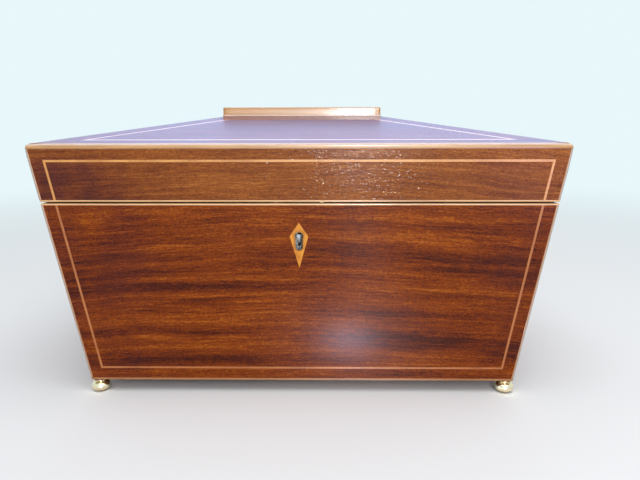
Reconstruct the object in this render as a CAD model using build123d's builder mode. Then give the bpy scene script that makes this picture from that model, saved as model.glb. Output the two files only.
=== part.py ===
"""Sarcophagus-shaped tea caddy with a hinged, hipped lid, two lidded tea wells and a glass bowl.

Millimetres. The caddy stands on Z = 0 with its centre on the Z axis, the lock faces -Y
and the hinges are at +Y. It is modelled closed.
"""
from build123d import *
import math
import os

os.makedirs("parts", exist_ok=True)

# Outer form. The four sides lean outwards, so the lid's top edge is the widest line
lid_width = 320.0
lid_depth = 188.0
foot_height = 9.0
base_height = 122.0
parting_gap = 0.8
lid_height = 34.4
wall_lean = 6.67
front_slope = 12.6
end_slope = 8.3

# Carcass
veneer = 1.0
board = 10.0
bottom_board = 8.0
glue_line = 0.05
cut_past = 1.0

# Boxwood stringing and edging
stringing_inset = 9.0
stringing_width = 1.4
stringing_depth = 0.8
corner_edging = 1.8
rim_edging_height = 1.2
foot_edging_height = 1.7
top_edging_height = 2.7
top_edging_depth = 2.7

# Tablet on the roof
tablet_width = 106.4
tablet_depth = 68.0
tablet_thickness = 8.5
tablet_let_in = 0.4
tablet_edging_height = 4.8
tablet_edging_depth = 3.0

# Kite escutcheon and keyhole, on the front
key_height = 101.3
kite_above = 8.7
kite_below = 20.8
kite_half_width = 5.7
keyhole_round = 2.6
keyhole_slot = 4.4
keyhole_drop = 7.3

# Lock
lock_length = 50.0
lock_case_height = 30.0
lock_case_wall = 1.0
lock_setback = 2.6
lock_plate_length = 62.0
lock_plate_thickness = 1.4
drill_pin_radius = 1.1
bolt_thickness = 1.6
bolt_bar_height = 4.0
bolt_finger_height = 3.0
bolt_finger_length = 4.2
bolt_upright = 2.4
bolt_clearance = 0.4

# Link plate on the lid, whose two loops drop into the lock
loop_spacing = 28.0
loop_thickness = 1.6
loop_width = 4.6
loop_eye_width = 2.6
loop_depth = 8.5
loop_eye_below = 1.3
loop_clearance = 0.8

# Hinges
hinge_length = 34.0
hinge_spacing = 190.0
hinge_leaf_width = 9.0
hinge_leaf_thickness = 1.4
barrel_radius = 2.2
barrel_offset = 0.4
knuckle_count = 5
knuckle_gap = 0.2
hinge_pin_radius = 0.9
pin_clearance = 0.03
barrel_clearance = 0.4

# Screws, all of one size
screw_head_radius = 1.9
screw_head_depth = 1.1
screw_radius = 0.9
screw_length = 7.5
screw_slot = 0.5
screw_fit = 0.02
hinge_screw_spacing = 11.0

# Interior
deck_below_rim = 8.0
inner_lid_thickness = 6.0
partition_thickness = 5.0
bowl_well_width = 106.0
well_wall = 3.0
well_floor = 2.0
inner_lid_clearance = 0.5
lining_thickness = 2.5
lining_clearance = 0.3
bowl_floor_thickness = 4.0
bowl_pad_thickness = 2.0
bowl_pad_radius = 40.0

# Glass bowl
bowl_rim_radius = 47.0
bowl_foot_radius = 24.0
bowl_height = 86.0
bowl_wall = 3.0
bowl_flare = 1.5
bowl_spread = 24.2
bowl_above_deck = 3.0
bowl_hole_clearance = 1.0
bowl_foot_height = 6.0

# Knobs of the inner lids
knob_radius = 5.5
knob_height = 13.0
knob_base_radius = 5.0
knob_neck_radius = 2.4
knob_stud_radius = 1.5
knob_stud_length = 4.0

# Turned feet
foot_radius = 6.3
foot_sole_radius = 3.4
foot_belly_height = 3.3
foot_bun_height = 6.6
foot_collar_radius = 4.6
foot_inset = 4.6
foot_stud_radius = 2.0
foot_stud_length = 6.0

# Heights that follow from the sizes above
base_bottom_z = foot_height
inner_floor_z = base_bottom_z + bottom_board
base_top_z = base_bottom_z + base_height
lid_bottom_z = base_top_z + parting_gap
lid_edge_z = lid_bottom_z + lid_height
lid_wall_top_z = lid_edge_z - top_edging_height
deck_z = base_top_z - deck_below_rim
ledge_z = deck_z - inner_lid_thickness
key_z = base_bottom_z + key_height
wall = veneer + board

# Heights and reaches of the roof, whose four slopes meet on hips
lean = math.radians(wall_lean)
front_rise = math.tan(math.radians(front_slope))
end_rise = math.tan(math.radians(end_slope))
ridge_z = lid_edge_z + front_rise * lid_depth / 2
tablet_seat_z = lid_edge_z + front_rise * (lid_depth - tablet_depth) / 2 - tablet_let_in
tablet_top_z = tablet_seat_z + tablet_thickness
tablet_band_z = tablet_top_z - tablet_edging_height

# The sides, each with its turn about Z from the front, its span and its distance from the axis
sides = {
    "front": (0, lid_width, lid_depth / 2),
    "right": (90, lid_depth, lid_width / 2),
    "back": (180, lid_width, lid_depth / 2),
    "left": (270, lid_depth, lid_width / 2),
}


def plane_on_edge(side, tilt):
    """Plane through one side's top edge, its normal turned up from level by the tilt."""
    turn, _, reach = sides[side]
    a = math.radians(turn)
    t = math.radians(tilt)
    return Plane(
        origin=(reach * math.sin(a), -reach * math.cos(a), lid_edge_z),
        x_dir=(math.cos(a), math.sin(a), 0),
        z_dir=(math.sin(a) * math.cos(t), -math.cos(a) * math.cos(t), math.sin(t)),
    )


face_plane = {side: plane_on_edge(side, -wall_lean) for side in sides}
roof_plane = {
    side: plane_on_edge(side, 90 - (front_slope if side in ("front", "back") else end_slope))
    for side in sides
}


def wall_reach(side, z, inset=0.0):
    """Level distance from the axis to a side's leaning face at a height, less an inset."""
    return sides[side][2] - math.tan(lean) * (lid_edge_z - z) - inset / math.cos(lean)


def leaning_block(z_low, z_high, inset=0.0, end_inset=None):
    """Solid between two heights whose sides lean with the caddy's faces, inset from them."""
    with BuildPart() as block:
        with BuildSketch(Plane.XY.offset(z_low)):
            Rectangle(lid_width, lid_depth)
        extrude(amount=z_high - z_low)
        for side in sides:
            at_end = side in ("left", "right") and end_inset is not None
            split(bisect_by=face_plane[side].offset(-(end_inset if at_end else inset)), keep=Keep.BOTTOM)
    return block.part


def wall_ring(z_low, z_high, outer, inner):
    """Four-sided ring between two heights and two insets from the leaning faces."""
    with BuildPart() as ring:
        add(leaning_block(z_low, z_high, outer))
        add(leaning_block(z_low, z_high, inner), mode=Mode.SUBTRACT)
    return ring.part


def corner_posts(z_low, z_high):
    """Four leaning square strips, one in each corner."""
    with BuildPart() as posts:
        add(leaning_block(z_low, z_high))
        add(leaning_block(z_low, z_high, corner_edging, 0), mode=Mode.SUBTRACT)
        add(leaning_block(z_low, z_high, 0, corner_edging), mode=Mode.SUBTRACT)
    return posts.part


def front_layer(z_low, z_high, outer, inner, x_low, x_high):
    """Leaning slab inside the front wall, between two heights, two insets and two ends."""
    with BuildPart() as layer:
        with BuildSketch(Plane.XY.offset(z_low)):
            with Locations(((x_low + x_high) / 2, -lid_depth / 4)):
                Rectangle(x_high - x_low, lid_depth / 2)
        extrude(amount=z_high - z_low)
        split(bisect_by=face_plane["front"].offset(-outer), keep=Keep.BOTTOM)
        split(bisect_by=face_plane["front"].offset(-inner), keep=Keep.TOP)
    return layer.part


def plan_share(side, runs, inset, past):
    """Upright prism over one side's share of the plan, inset from the shares beside it.

    The shares meet on upright planes through the corners and through the middle. From a corner
    the plane runs in from the front or back by the first of the runs for each second from the end.
    The prism ends past the lid's outline by the last value.
    """
    front_run, end_run = runs
    turn = math.radians(sides[side][0])
    outward = Vector(math.sin(turn), -math.cos(turn), 0)
    is_long = side in ("front", "back")
    keep = Keep.BOTTOM if is_long else Keep.TOP
    with BuildPart() as share:
        with BuildSketch():
            Rectangle(lid_width + 2 * past, lid_depth + 2 * past)
        extrude(amount=tablet_top_z)
        for x, y in ((-1, -1), (1, -1), (1, 1), (-1, 1)):
            if outward.dot(Vector(x, y, 0)) > 0:
                mitre = Plane(
                    origin=(x * lid_width / 2, y * lid_depth / 2, 0),
                    z_dir=(x * front_run, -y * end_run, 0),
                )
                split(bisect_by=mitre.offset(-inset if is_long else inset), keep=keep)
        split(bisect_by=Plane(origin=(0, 0, 0), z_dir=outward).offset(inset), keep=Keep.TOP)
    return share.part


# The walls' shares meet on 45 degree mitres, and those of the roof on its hips
square_runs = (1, 1)
hip_runs = (1 / front_rise, 1 / end_rise)
wall_share = {side: plan_share(side, square_runs, glue_line / 2, board) for side in sides}
roof_share = {side: plan_share(side, hip_runs, glue_line / 2, 0) for side in sides}


def all_shares(share):
    """The four shares of the plan as one set of prisms."""
    with BuildPart() as prisms:
        for side in sides:
            add(share[side])
    return prisms.part


all_wall_shares = all_shares(wall_share)
all_roof_shares = all_shares(roof_share)


def stringing_frames(z_low, z_high):
    """Stringing of the four leaning faces between two heights."""
    slant = (lid_edge_z - base_bottom_z) / math.cos(lean)
    with BuildPart() as frames:
        for side in sides:
            half = sides[side][1] / 2
            low_half = half - slant * math.sin(lean)
            outline = [(-half, 0), (-low_half, -slant), (low_half, -slant), (half, 0)]
            with BuildSketch(face_plane[side]):
                Polygon(*outline, align=None)
                offset(amount=-stringing_inset, kind=Kind.INTERSECTION, mode=Mode.REPLACE)
                offset(amount=-stringing_width, kind=Kind.INTERSECTION, mode=Mode.SUBTRACT)
            extrude(amount=-stringing_depth)
        with BuildSketch(Plane.XY.offset(z_low)):
            Rectangle(lid_width, lid_depth)
        extrude(amount=z_high - z_low, mode=Mode.INTERSECT)
    return frames.part


def finish(piece, name):
    """Label a finished piece and write it out."""
    piece.part.label = name
    export_step(piece.part, f"parts/{name}.step")


def upright_box(x_low, x_high, y_low, y_high, z_low, z_high):
    """Plain block between two levels along each axis."""
    with BuildPart() as block:
        with BuildSketch(Plane.XY.offset(z_low)):
            with Locations(((x_low + x_high) / 2, (y_low + y_high) / 2)):
                Rectangle(x_high - x_low, y_high - y_low)
        extrude(amount=z_high - z_low)
    return block.part


def rod_along_x(x_low, x_high, y, z, radius):
    """Round bar along X."""
    with BuildPart() as rod:
        with BuildSketch(Plane.YZ.offset(x_low)):
            with Locations((y, z)):
                Circle(radius)
        extrude(amount=x_high - x_low)
    return rod.part


def screw(x, y, z, up, fit=0.0, slotted=True):
    """Countersunk wood screw whose head lies flush at a height, or its hole if a fit is given."""
    turn = 1 if up else -1
    head = screw_head_radius + fit
    shank = screw_radius + fit
    with BuildPart() as body:
        with BuildSketch(Plane.XZ.offset(-y)):
            Polygon(
                (x, z),
                (x + head, z),
                (x + shank, z + turn * screw_head_depth),
                (x + shank, z + turn * screw_length),
                (x, z + turn * (screw_length + shank)),
                align=None,
            )
        revolve(axis=Axis((x, y, 0), (0, 0, 1)))
        if slotted:
            with BuildSketch(Plane.XY.offset(z)):
                with Locations((x, y)):
                    Rectangle(2 * screw_head_radius, screw_slot)
            extrude(amount=turn * screw_slot, mode=Mode.SUBTRACT)
    return body.part


def screw_hole(x, y, z, up):
    """Hole that a screw fits."""
    return screw(x, y, z, up, screw_fit, False)


# Hinge axis, at the back of the parting line, and the two hinges' places along it
axis_y = wall_reach("back", base_top_z) + barrel_offset
axis_z = base_top_z + parting_gap / 2
leaf_edge_y = axis_y - hinge_leaf_width
leaf_screw_y = axis_y - hinge_leaf_width / 2 - barrel_radius / 2
hinge_places = {"left": -hinge_spacing / 2, "right": hinge_spacing / 2}
knuckle_pitch = (hinge_length + knuckle_gap) / knuckle_count
hinge_screw_xs = [
    x + step * hinge_screw_spacing for x in hinge_places.values() for step in (-1, 0, 1)
]

# Lock and link plate, on the middle of the front
plate_out_y = -wall_reach("front", base_top_z, lock_setback)
plate_in_y = -wall_reach("front", base_top_z, wall)
plate_mid_y = (plate_out_y + plate_in_y) / 2
plate_bottom_z = base_top_z - lock_plate_thickness
case_bottom_z = plate_bottom_z - lock_case_height
bolt_inset = (lock_setback + wall) / 2
loop_bottom_z = lid_bottom_z - loop_depth
finger_z = loop_bottom_z + loop_eye_below + bolt_clearance
eye_mid_z = finger_z + bolt_finger_height / 2
loop_y = -wall_reach("front", eye_mid_z, bolt_inset)
loop_xs = (-loop_spacing / 2, loop_spacing / 2)
lock_screw_x = (lock_length + lock_plate_length) / 4
link_screw_x = (loop_spacing + lock_length) / 4

# Point on the front face at the key's height, where the kite and the keyhole are drawn
key_slant = (key_z - lid_edge_z) / math.cos(lean)


def keyhole(depth):
    """Keyhole cut from the front face inwards, round above and slotted below."""
    with BuildPart() as hole:
        with BuildSketch(face_plane["front"]):
            with Locations((0, key_slant)):
                Circle(keyhole_round)
            with Locations((0, key_slant - keyhole_drop / 2)):
                Rectangle(keyhole_slot, keyhole_drop)
            with Locations((0, key_slant - keyhole_drop)):
                Circle(keyhole_slot / 2)
        extrude(amount=-depth)
    return hole.part


def kite(depth):
    """Kite-shaped slip let into the front face."""
    with BuildPart() as slip:
        with BuildSketch(face_plane["front"]):
            Polygon(
                (0, key_slant + kite_above),
                (-kite_half_width, key_slant),
                (0, key_slant - kite_below),
                (kite_half_width, key_slant),
                align=None,
            )
        extrude(amount=-depth)
    return slip.part


def rim_cuts(rim_z, turn, plate_half, plate_screw_x):
    """Room in a rim for both hinges and for a plate at the front, with holes for their screws."""
    leaf_z = sorted((rim_z, rim_z + turn * hinge_leaf_thickness))
    plate_z = sorted((rim_z, rim_z + turn * lock_plate_thickness))
    leaf_half = hinge_length / 2
    trough = leaf_half + barrel_clearance
    with BuildPart() as cuts:
        for x in hinge_places.values():
            add(upright_box(x - leaf_half, x + leaf_half, leaf_edge_y, axis_y, *leaf_z))
            add(rod_along_x(x - trough, x + trough, axis_y, axis_z, barrel_radius + barrel_clearance))
        for x in hinge_screw_xs:
            add(screw_hole(x, leaf_screw_y, rim_z, turn > 0))
        for x in (-plate_screw_x, plate_screw_x):
            add(screw_hole(x, plate_mid_y, rim_z, turn > 0))
        add(upright_box(-plate_half, plate_half, plate_out_y, plate_in_y + cut_past, *plate_z))
    return cuts.part


# Everything that hardware takes out of the base's boards, veneer and edging, and out of the lid's
case_half = lock_length / 2
lock_plate_half = lock_plate_length / 2

with BuildPart() as base_cuts:
    add(rim_cuts(base_top_z, -1, lock_plate_half, lock_screw_x))
    add(front_layer(case_bottom_z, base_top_z, lock_setback, wall + cut_past, -case_half, case_half))
    add(keyhole(lock_setback))

with BuildPart() as lid_cuts:
    add(rim_cuts(lid_bottom_z, 1, case_half, link_screw_x))

# Edging of the base: a strip round the rim, one round the foot and a post in each corner
foot_edging_z = base_bottom_z + foot_edging_height
rim_edging_z = base_top_z - rim_edging_height

with BuildPart() as base_rim_edging:
    add(wall_ring(rim_edging_z, base_top_z, 0, corner_edging))
    add(all_wall_shares, mode=Mode.INTERSECT)
    add(base_cuts.part, mode=Mode.SUBTRACT)
finish(base_rim_edging, "base_rim_edging")

with BuildPart() as base_foot_edging:
    add(wall_ring(base_bottom_z, foot_edging_z, 0, corner_edging))
    add(all_wall_shares, mode=Mode.INTERSECT)
finish(base_foot_edging, "base_foot_edging")

with BuildPart() as base_corner_edging:
    add(corner_posts(foot_edging_z, rim_edging_z))
finish(base_corner_edging, "base_corner_edging")

with BuildPart() as base_edging_zone:
    add(wall_ring(rim_edging_z, base_top_z, 0, corner_edging))
    add(wall_ring(base_bottom_z, foot_edging_z, 0, corner_edging))
    add(corner_posts(foot_edging_z, rim_edging_z))

# Boards of the base, mitred at the corners, and the bottom board under them
for side in sides:
    with BuildPart() as base_board:
        add(wall_ring(inner_floor_z, base_top_z, veneer, wall))
        add(wall_share[side], mode=Mode.INTERSECT)
        add(base_edging_zone.part, mode=Mode.SUBTRACT)
        add(base_cuts.part, mode=Mode.SUBTRACT)
    finish(base_board, f"base_{side}_board")

foot_x = wall_reach("right", base_bottom_z) - foot_inset
foot_y = wall_reach("front", base_bottom_z) - foot_inset
foot_places = {
    "front_left": (-foot_x, -foot_y),
    "front_right": (foot_x, -foot_y),
    "back_left": (-foot_x, foot_y),
    "back_right": (foot_x, foot_y),
}

with BuildPart() as base_bottom_board:
    add(leaning_block(base_bottom_z, inner_floor_z, veneer))
    add(base_edging_zone.part, mode=Mode.SUBTRACT)
    with BuildSketch(Plane.XY.offset(base_bottom_z)):
        with Locations(*foot_places.values()):
            Circle(foot_stud_radius)
    extrude(amount=foot_stud_length, mode=Mode.SUBTRACT)
finish(base_bottom_board, "base_bottom_board")

# Stringing, and the veneer that it is let into
with BuildPart() as base_stringing:
    add(stringing_frames(foot_edging_z, rim_edging_z))
finish(base_stringing, "base_stringing")

with BuildPart() as escutcheon:
    add(kite(veneer))
    add(keyhole(veneer), mode=Mode.SUBTRACT)
finish(escutcheon, "escutcheon")

for side in sides:
    with BuildPart() as base_veneer:
        add(wall_ring(foot_edging_z, rim_edging_z, 0, veneer))
        add(wall_share[side], mode=Mode.INTERSECT)
        add(base_corner_edging.part, mode=Mode.SUBTRACT)
        add(base_stringing.part, mode=Mode.SUBTRACT)
        add(kite(veneer), mode=Mode.SUBTRACT)
        add(base_cuts.part, mode=Mode.SUBTRACT)
    finish(base_veneer, f"base_{side}_veneer")

# Turned brass feet, each with a stud up into the bottom board
for corner, (x, y) in foot_places.items():
    with BuildPart() as foot:
        with BuildSketch(Plane.XZ.offset(-y)):
            with BuildLine():
                Line((x, 0), (x + foot_sole_radius, 0))
                ThreePointArc(
                    (x + foot_sole_radius, 0),
                    (x + foot_radius, foot_belly_height),
                    (x + foot_sole_radius, foot_bun_height),
                )
                Polyline(
                    (x + foot_sole_radius, foot_bun_height),
                    (x + foot_collar_radius, foot_bun_height),
                    (x + foot_collar_radius, base_bottom_z),
                    (x + foot_stud_radius, base_bottom_z),
                    (x + foot_stud_radius, base_bottom_z + foot_stud_length),
                    (x, base_bottom_z + foot_stud_length),
                    (x, 0),
                )
            make_face()
        revolve(axis=Axis((x, y, 0), (0, 0, 1)))
    finish(foot, f"foot_{corner}")

# Hinges. The base leaf has the odd knuckles and holds the pin, the lid leaf has the others
def hinge_leaf(x, low):
    """Leaf of one hinge, flat on the base's rim or under the lid's."""
    own = 0 if low else 1
    rim_z = base_top_z if low else lid_bottom_z
    z_low = rim_z - hinge_leaf_thickness if low else rim_z
    start = x - hinge_length / 2
    knuckle = knuckle_pitch - knuckle_gap
    with BuildPart() as leaf:
        leaf_z = (z_low, z_low + hinge_leaf_thickness)
        add(upright_box(start, start + hinge_length, leaf_edge_y, axis_y, *leaf_z))
        for i in range(1 - own, knuckle_count, 2):
            other = start + i * knuckle_pitch
            add(
                rod_along_x(
                    other - knuckle_gap, other + knuckle + knuckle_gap,
                    axis_y, axis_z, barrel_radius + barrel_clearance,
                ),
                mode=Mode.SUBTRACT,
            )
        for i in range(own, knuckle_count, 2):
            mine = start + i * knuckle_pitch
            add(rod_along_x(mine, mine + knuckle, axis_y, axis_z, barrel_radius))
        bore = hinge_pin_radius + pin_clearance
        add(rod_along_x(start, start + hinge_length, axis_y, axis_z, bore), mode=Mode.SUBTRACT)
        for screw_x in hinge_screw_xs:
            add(screw_hole(screw_x, leaf_screw_y, rim_z, not low), mode=Mode.SUBTRACT)
    return leaf


for hand, x in hinge_places.items():
    finish(hinge_leaf(x, True), f"{hand}_hinge_base_leaf")
    finish(hinge_leaf(x, False), f"{hand}_hinge_lid_leaf")

with BuildPart() as hinge_pins:
    for x in hinge_places.values():
        add(rod_along_x(x - hinge_length / 2, x + hinge_length / 2, axis_y, axis_z, hinge_pin_radius))
finish(hinge_pins, "hinge_pins")

with BuildPart() as base_screws:
    for x in hinge_screw_xs:
        add(screw(x, leaf_screw_y, base_top_z, False))
    for x in (-lock_screw_x, lock_screw_x):
        add(screw(x, plate_mid_y, base_top_z, False))
finish(base_screws, "base_screws")

with BuildPart() as lid_screws:
    for x in hinge_screw_xs:
        add(screw(x, leaf_screw_y, lid_bottom_z, True))
    for x in (-link_screw_x, link_screw_x):
        add(screw(x, plate_mid_y, lid_bottom_z, True))
finish(lid_screws, "lid_screws")

# Lock: an open-topped case under a plate, with a drill pin and a sliding bolt
with BuildPart() as lock_case:
    inner = case_half - lock_case_wall
    add(front_layer(case_bottom_z, plate_bottom_z, lock_setback, wall, -case_half, case_half))
    add(
        front_layer(
            case_bottom_z + lock_case_wall, plate_bottom_z,
            lock_setback + lock_case_wall, wall - lock_case_wall, -inner, inner,
        ),
        mode=Mode.SUBTRACT,
    )
    add(keyhole(lock_setback + lock_case_wall), mode=Mode.SUBTRACT)
finish(lock_case, "lock_case")

with BuildPart() as lock_plate:
    add(upright_box(-lock_plate_half, lock_plate_half, plate_out_y, plate_in_y, plate_bottom_z, base_top_z))
    with BuildSketch(Plane.XY.offset(plate_bottom_z)):
        with Locations(*[(x, loop_y) for x in loop_xs]):
            Rectangle(loop_thickness + 2 * bolt_clearance, loop_width + 2 * loop_clearance)
    extrude(amount=lock_plate_thickness, mode=Mode.SUBTRACT)
    for x in (-lock_screw_x, lock_screw_x):
        add(screw_hole(x, plate_mid_y, base_top_z, False), mode=Mode.SUBTRACT)
finish(lock_plate, "lock_plate")

with BuildPart() as lock_drill_pin:
    with BuildSketch(face_plane["front"].offset(-veneer)):
        with Locations((0, key_slant)):
            Circle(drill_pin_radius)
    extrude(amount=-(board - lock_case_wall))
finish(lock_drill_pin, "lock_drill_pin")

with BuildPart() as lock_bolt:
    near, far = bolt_inset - bolt_thickness / 2, bolt_inset + bolt_thickness / 2
    bar_top_z = loop_bottom_z - bolt_clearance
    finger_top_z = finger_z + bolt_finger_height
    for x in loop_xs:
        tip = x - loop_thickness / 2 - loop_clearance
        foot_of_finger = tip - bolt_finger_length
        upright = foot_of_finger - bolt_upright
        add(front_layer(bar_top_z, finger_top_z, near, far, upright, foot_of_finger))
        add(front_layer(finger_z, finger_top_z, near, far, foot_of_finger, tip))
    reach_left = loop_xs[0] - loop_thickness / 2 - loop_clearance - bolt_finger_length - bolt_upright
    reach_right = loop_xs[1] - loop_thickness / 2 - loop_clearance
    add(front_layer(bar_top_z - bolt_bar_height, bar_top_z, near, far, reach_left, reach_right))
finish(lock_bolt, "lock_bolt")

with BuildPart() as link_plate:
    link_top_z = lid_bottom_z + lock_plate_thickness
    add(upright_box(-case_half, case_half, plate_out_y, plate_in_y, lid_bottom_z, link_top_z))
    for x in loop_xs:
        x_low, x_high = x - loop_thickness / 2, x + loop_thickness / 2
        add(
            upright_box(
                x_low, x_high, loop_y - loop_width / 2, loop_y + loop_width / 2,
                loop_bottom_z, lid_bottom_z,
            )
        )
        add(
            upright_box(
                x_low, x_high, loop_y - loop_eye_width / 2, loop_y + loop_eye_width / 2,
                finger_z - bolt_clearance, finger_z + bolt_finger_height + bolt_clearance,
            ),
            mode=Mode.SUBTRACT,
        )
    for x in (-link_screw_x, link_screw_x):
        add(screw_hole(x, plate_mid_y, lid_bottom_z, True), mode=Mode.SUBTRACT)
finish(link_plate, "link_plate")

# Inside of the base: two partitions, a lidded well on each side and the bowl's place between
bowl_well_half = bowl_well_width / 2
well_side_x = bowl_well_half + partition_thickness


def between_x(block, x_low, x_high):
    """The stretch of a block between two levels along X."""
    with BuildPart() as stretch:
        add(block)
        split(bisect_by=Plane.YZ.offset(x_low), keep=Keep.TOP)
        split(bisect_by=Plane.YZ.offset(x_high), keep=Keep.BOTTOM)
    return stretch.part


for hand, turn in (("left", -1), ("right", 1)):
    ends = sorted((turn * bowl_well_half, turn * well_side_x))
    with BuildPart() as partition:
        add(between_x(leaning_block(inner_floor_z, deck_z, wall), *ends))
    finish(partition, f"{hand}_partition")

    ends = sorted((turn * well_side_x, turn * lid_width))
    hollow = sorted((turn * (well_side_x + well_wall), turn * lid_width))
    with BuildPart() as tea_well:
        add(between_x(leaning_block(inner_floor_z, ledge_z, wall), *ends))
        add(
            between_x(leaning_block(inner_floor_z + well_floor, ledge_z, wall + well_wall), *hollow),
            mode=Mode.SUBTRACT,
        )
    finish(tea_well, f"{hand}_tea_well")

    cover = sorted((turn * (well_side_x + inner_lid_clearance), turn * lid_width))
    with BuildPart() as tea_lid:
        add(between_x(leaning_block(ledge_z, deck_z, wall + inner_lid_clearance), *cover))
        knob_x = turn * (well_side_x + wall_reach("right", deck_z, wall)) / 2
        with BuildSketch(Plane.XY.offset(deck_z)):
            with Locations((knob_x, 0)):
                Circle(knob_stud_radius)
        extrude(amount=-knob_stud_length, mode=Mode.SUBTRACT)
    finish(tea_lid, f"{hand}_tea_lid")

    with BuildPart() as knob:
        with BuildSketch(Plane.XZ):
            with BuildLine():
                ball_z = deck_z + knob_height - knob_radius
                neck_z = ball_z - math.sqrt(knob_radius**2 - knob_neck_radius**2)
                base_z = (neck_z + deck_z) / 2
                x = knob_x
                Polyline(
                    (x, deck_z - knob_stud_length),
                    (x + knob_stud_radius, deck_z - knob_stud_length),
                    (x + knob_stud_radius, deck_z),
                    (x + knob_base_radius, deck_z),
                    (x + knob_base_radius, base_z),
                    (x + knob_neck_radius, neck_z),
                )
                ThreePointArc(
                    (x + knob_neck_radius, neck_z), (x + knob_radius, ball_z), (x, deck_z + knob_height)
                )
                Line((x, deck_z + knob_height), (x, deck_z - knob_stud_length))
            make_face()
        revolve(axis=Axis((knob_x, 0, 0), (0, 0, 1)))
    finish(knob, f"{hand}_tea_lid_knob")

with BuildPart() as bowl_deck:
    add(between_x(leaning_block(ledge_z, deck_z, wall), -bowl_well_half, bowl_well_half))
    with BuildSketch(Plane.XY.offset(ledge_z)):
        Circle(bowl_rim_radius + bowl_hole_clearance)
    extrude(amount=inner_lid_thickness, mode=Mode.SUBTRACT)
finish(bowl_deck, "bowl_deck")

bowl_top_z = deck_z + bowl_above_deck
bowl_bottom_z = bowl_top_z - bowl_height
pad_bottom_z = bowl_bottom_z - bowl_pad_thickness
bowl_floor_z = pad_bottom_z - bowl_floor_thickness

with BuildPart() as bowl_floor:
    add(between_x(leaning_block(bowl_floor_z, pad_bottom_z, wall), -bowl_well_half, bowl_well_half))
finish(bowl_floor, "bowl_floor")

with BuildPart() as bowl_pad:
    with BuildSketch(Plane.XY.offset(pad_bottom_z)):
        Circle(bowl_pad_radius)
    extrude(amount=bowl_pad_thickness)
finish(bowl_pad, "bowl_pad")

with BuildPart() as glass_bowl:
    with BuildSketch(Plane.XZ):
        with BuildLine():
            waist_z = bowl_bottom_z + bowl_foot_height
            belly_z = bowl_bottom_z + bowl_height / 2
            belly = bowl_rim_radius - bowl_flare
            spread = math.radians(bowl_spread)
            base = Polyline(
                (0, waist_z + bowl_wall),
                (0, bowl_bottom_z),
                (bowl_foot_radius, bowl_bottom_z),
                (bowl_foot_radius, bowl_bottom_z + bowl_wall),
                (bowl_foot_radius - bowl_wall, waist_z),
            )
            TangentArc(base @ 1, (belly, belly_z), tangent=(math.cos(spread), math.sin(spread)))
            Polyline(
                (belly, belly_z),
                (bowl_rim_radius, bowl_top_z),
                (bowl_rim_radius - bowl_wall, bowl_top_z),
                (belly - bowl_wall, belly_z),
            )
            TangentArc(base @ 0, (belly - bowl_wall, belly_z), tangent=(1, 0))
        make_face()
    revolve(axis=Axis.Z)
finish(glass_bowl, "glass_bowl")

# Edging, boards, stringing and veneer of the lid's walls
lid_rim_edging_z = lid_bottom_z + rim_edging_height

with BuildPart() as lid_rim_edging:
    add(wall_ring(lid_bottom_z, lid_rim_edging_z, 0, corner_edging))
    add(all_wall_shares, mode=Mode.INTERSECT)
    add(lid_cuts.part, mode=Mode.SUBTRACT)
finish(lid_rim_edging, "lid_rim_edging")

with BuildPart() as lid_corner_edging:
    add(corner_posts(lid_rim_edging_z, lid_wall_top_z))
finish(lid_corner_edging, "lid_corner_edging")

for side in sides:
    with BuildPart() as lid_board:
        add(wall_ring(lid_bottom_z, lid_wall_top_z, veneer, wall))
        add(wall_share[side], mode=Mode.INTERSECT)
        add(wall_ring(lid_bottom_z, lid_rim_edging_z, 0, corner_edging), mode=Mode.SUBTRACT)
        add(lid_corner_edging.part, mode=Mode.SUBTRACT)
        add(lid_cuts.part, mode=Mode.SUBTRACT)
    finish(lid_board, f"lid_{side}_board")

wall_frames = stringing_frames(lid_rim_edging_z, lid_wall_top_z)
for side in sides:
    with BuildPart() as lid_veneer:
        add(wall_ring(lid_rim_edging_z, lid_wall_top_z, 0, veneer))
        add(wall_share[side], mode=Mode.INTERSECT)
        add(lid_corner_edging.part, mode=Mode.SUBTRACT)
        add(wall_frames, mode=Mode.SUBTRACT)
        add(lid_cuts.part, mode=Mode.SUBTRACT)
    finish(lid_veneer, f"lid_{side}_veneer")


# Roof: a solid hipped board with its veneer, its stringing and the edging round the eaves
def roof_block(z_low, drop, edge_inset):
    """Solid under the four slopes, each lowered by the drop, inside the lid's top edge."""
    with BuildPart() as block:
        with BuildSketch(Plane.XY.offset(z_low)):
            Rectangle(lid_width - 2 * edge_inset, lid_depth - 2 * edge_inset)
        extrude(amount=ridge_z - z_low)
        for side in sides:
            split(bisect_by=roof_plane[side].offset(-drop), keep=Keep.BOTTOM)
    return block.part


tablet_place = upright_box(
    -tablet_width / 2, tablet_width / 2, -tablet_depth / 2, tablet_depth / 2,
    tablet_seat_z, tablet_top_z,
)

with BuildPart() as roof_board:
    add(roof_block(lid_wall_top_z, veneer, top_edging_depth))
    add(tablet_place, mode=Mode.SUBTRACT)
finish(roof_board, "lid_roof_board")

with BuildPart() as roof_skin:
    add(roof_block(lid_wall_top_z, 0, 0))
    add(roof_block(lid_wall_top_z, stringing_depth, 0), mode=Mode.SUBTRACT)


def roof_frame(side):
    """Stringing of one slope, at one inset in plan from the eaves, the hips and the ridge."""
    inner = stringing_inset + stringing_width
    with BuildPart() as frame:
        add(plan_share(side, hip_runs, stringing_inset, -stringing_inset))
        add(plan_share(side, hip_runs, inner, -inner), mode=Mode.SUBTRACT)
        add(roof_skin.part, mode=Mode.INTERSECT)
        add(tablet_place, mode=Mode.SUBTRACT)
    return frame.part


with BuildPart() as roof_frames:
    for side in sides:
        add(roof_frame(side))

with BuildPart() as lid_stringing:
    add(wall_frames)
    add(roof_frames.part)
finish(lid_stringing, "lid_stringing")

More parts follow.
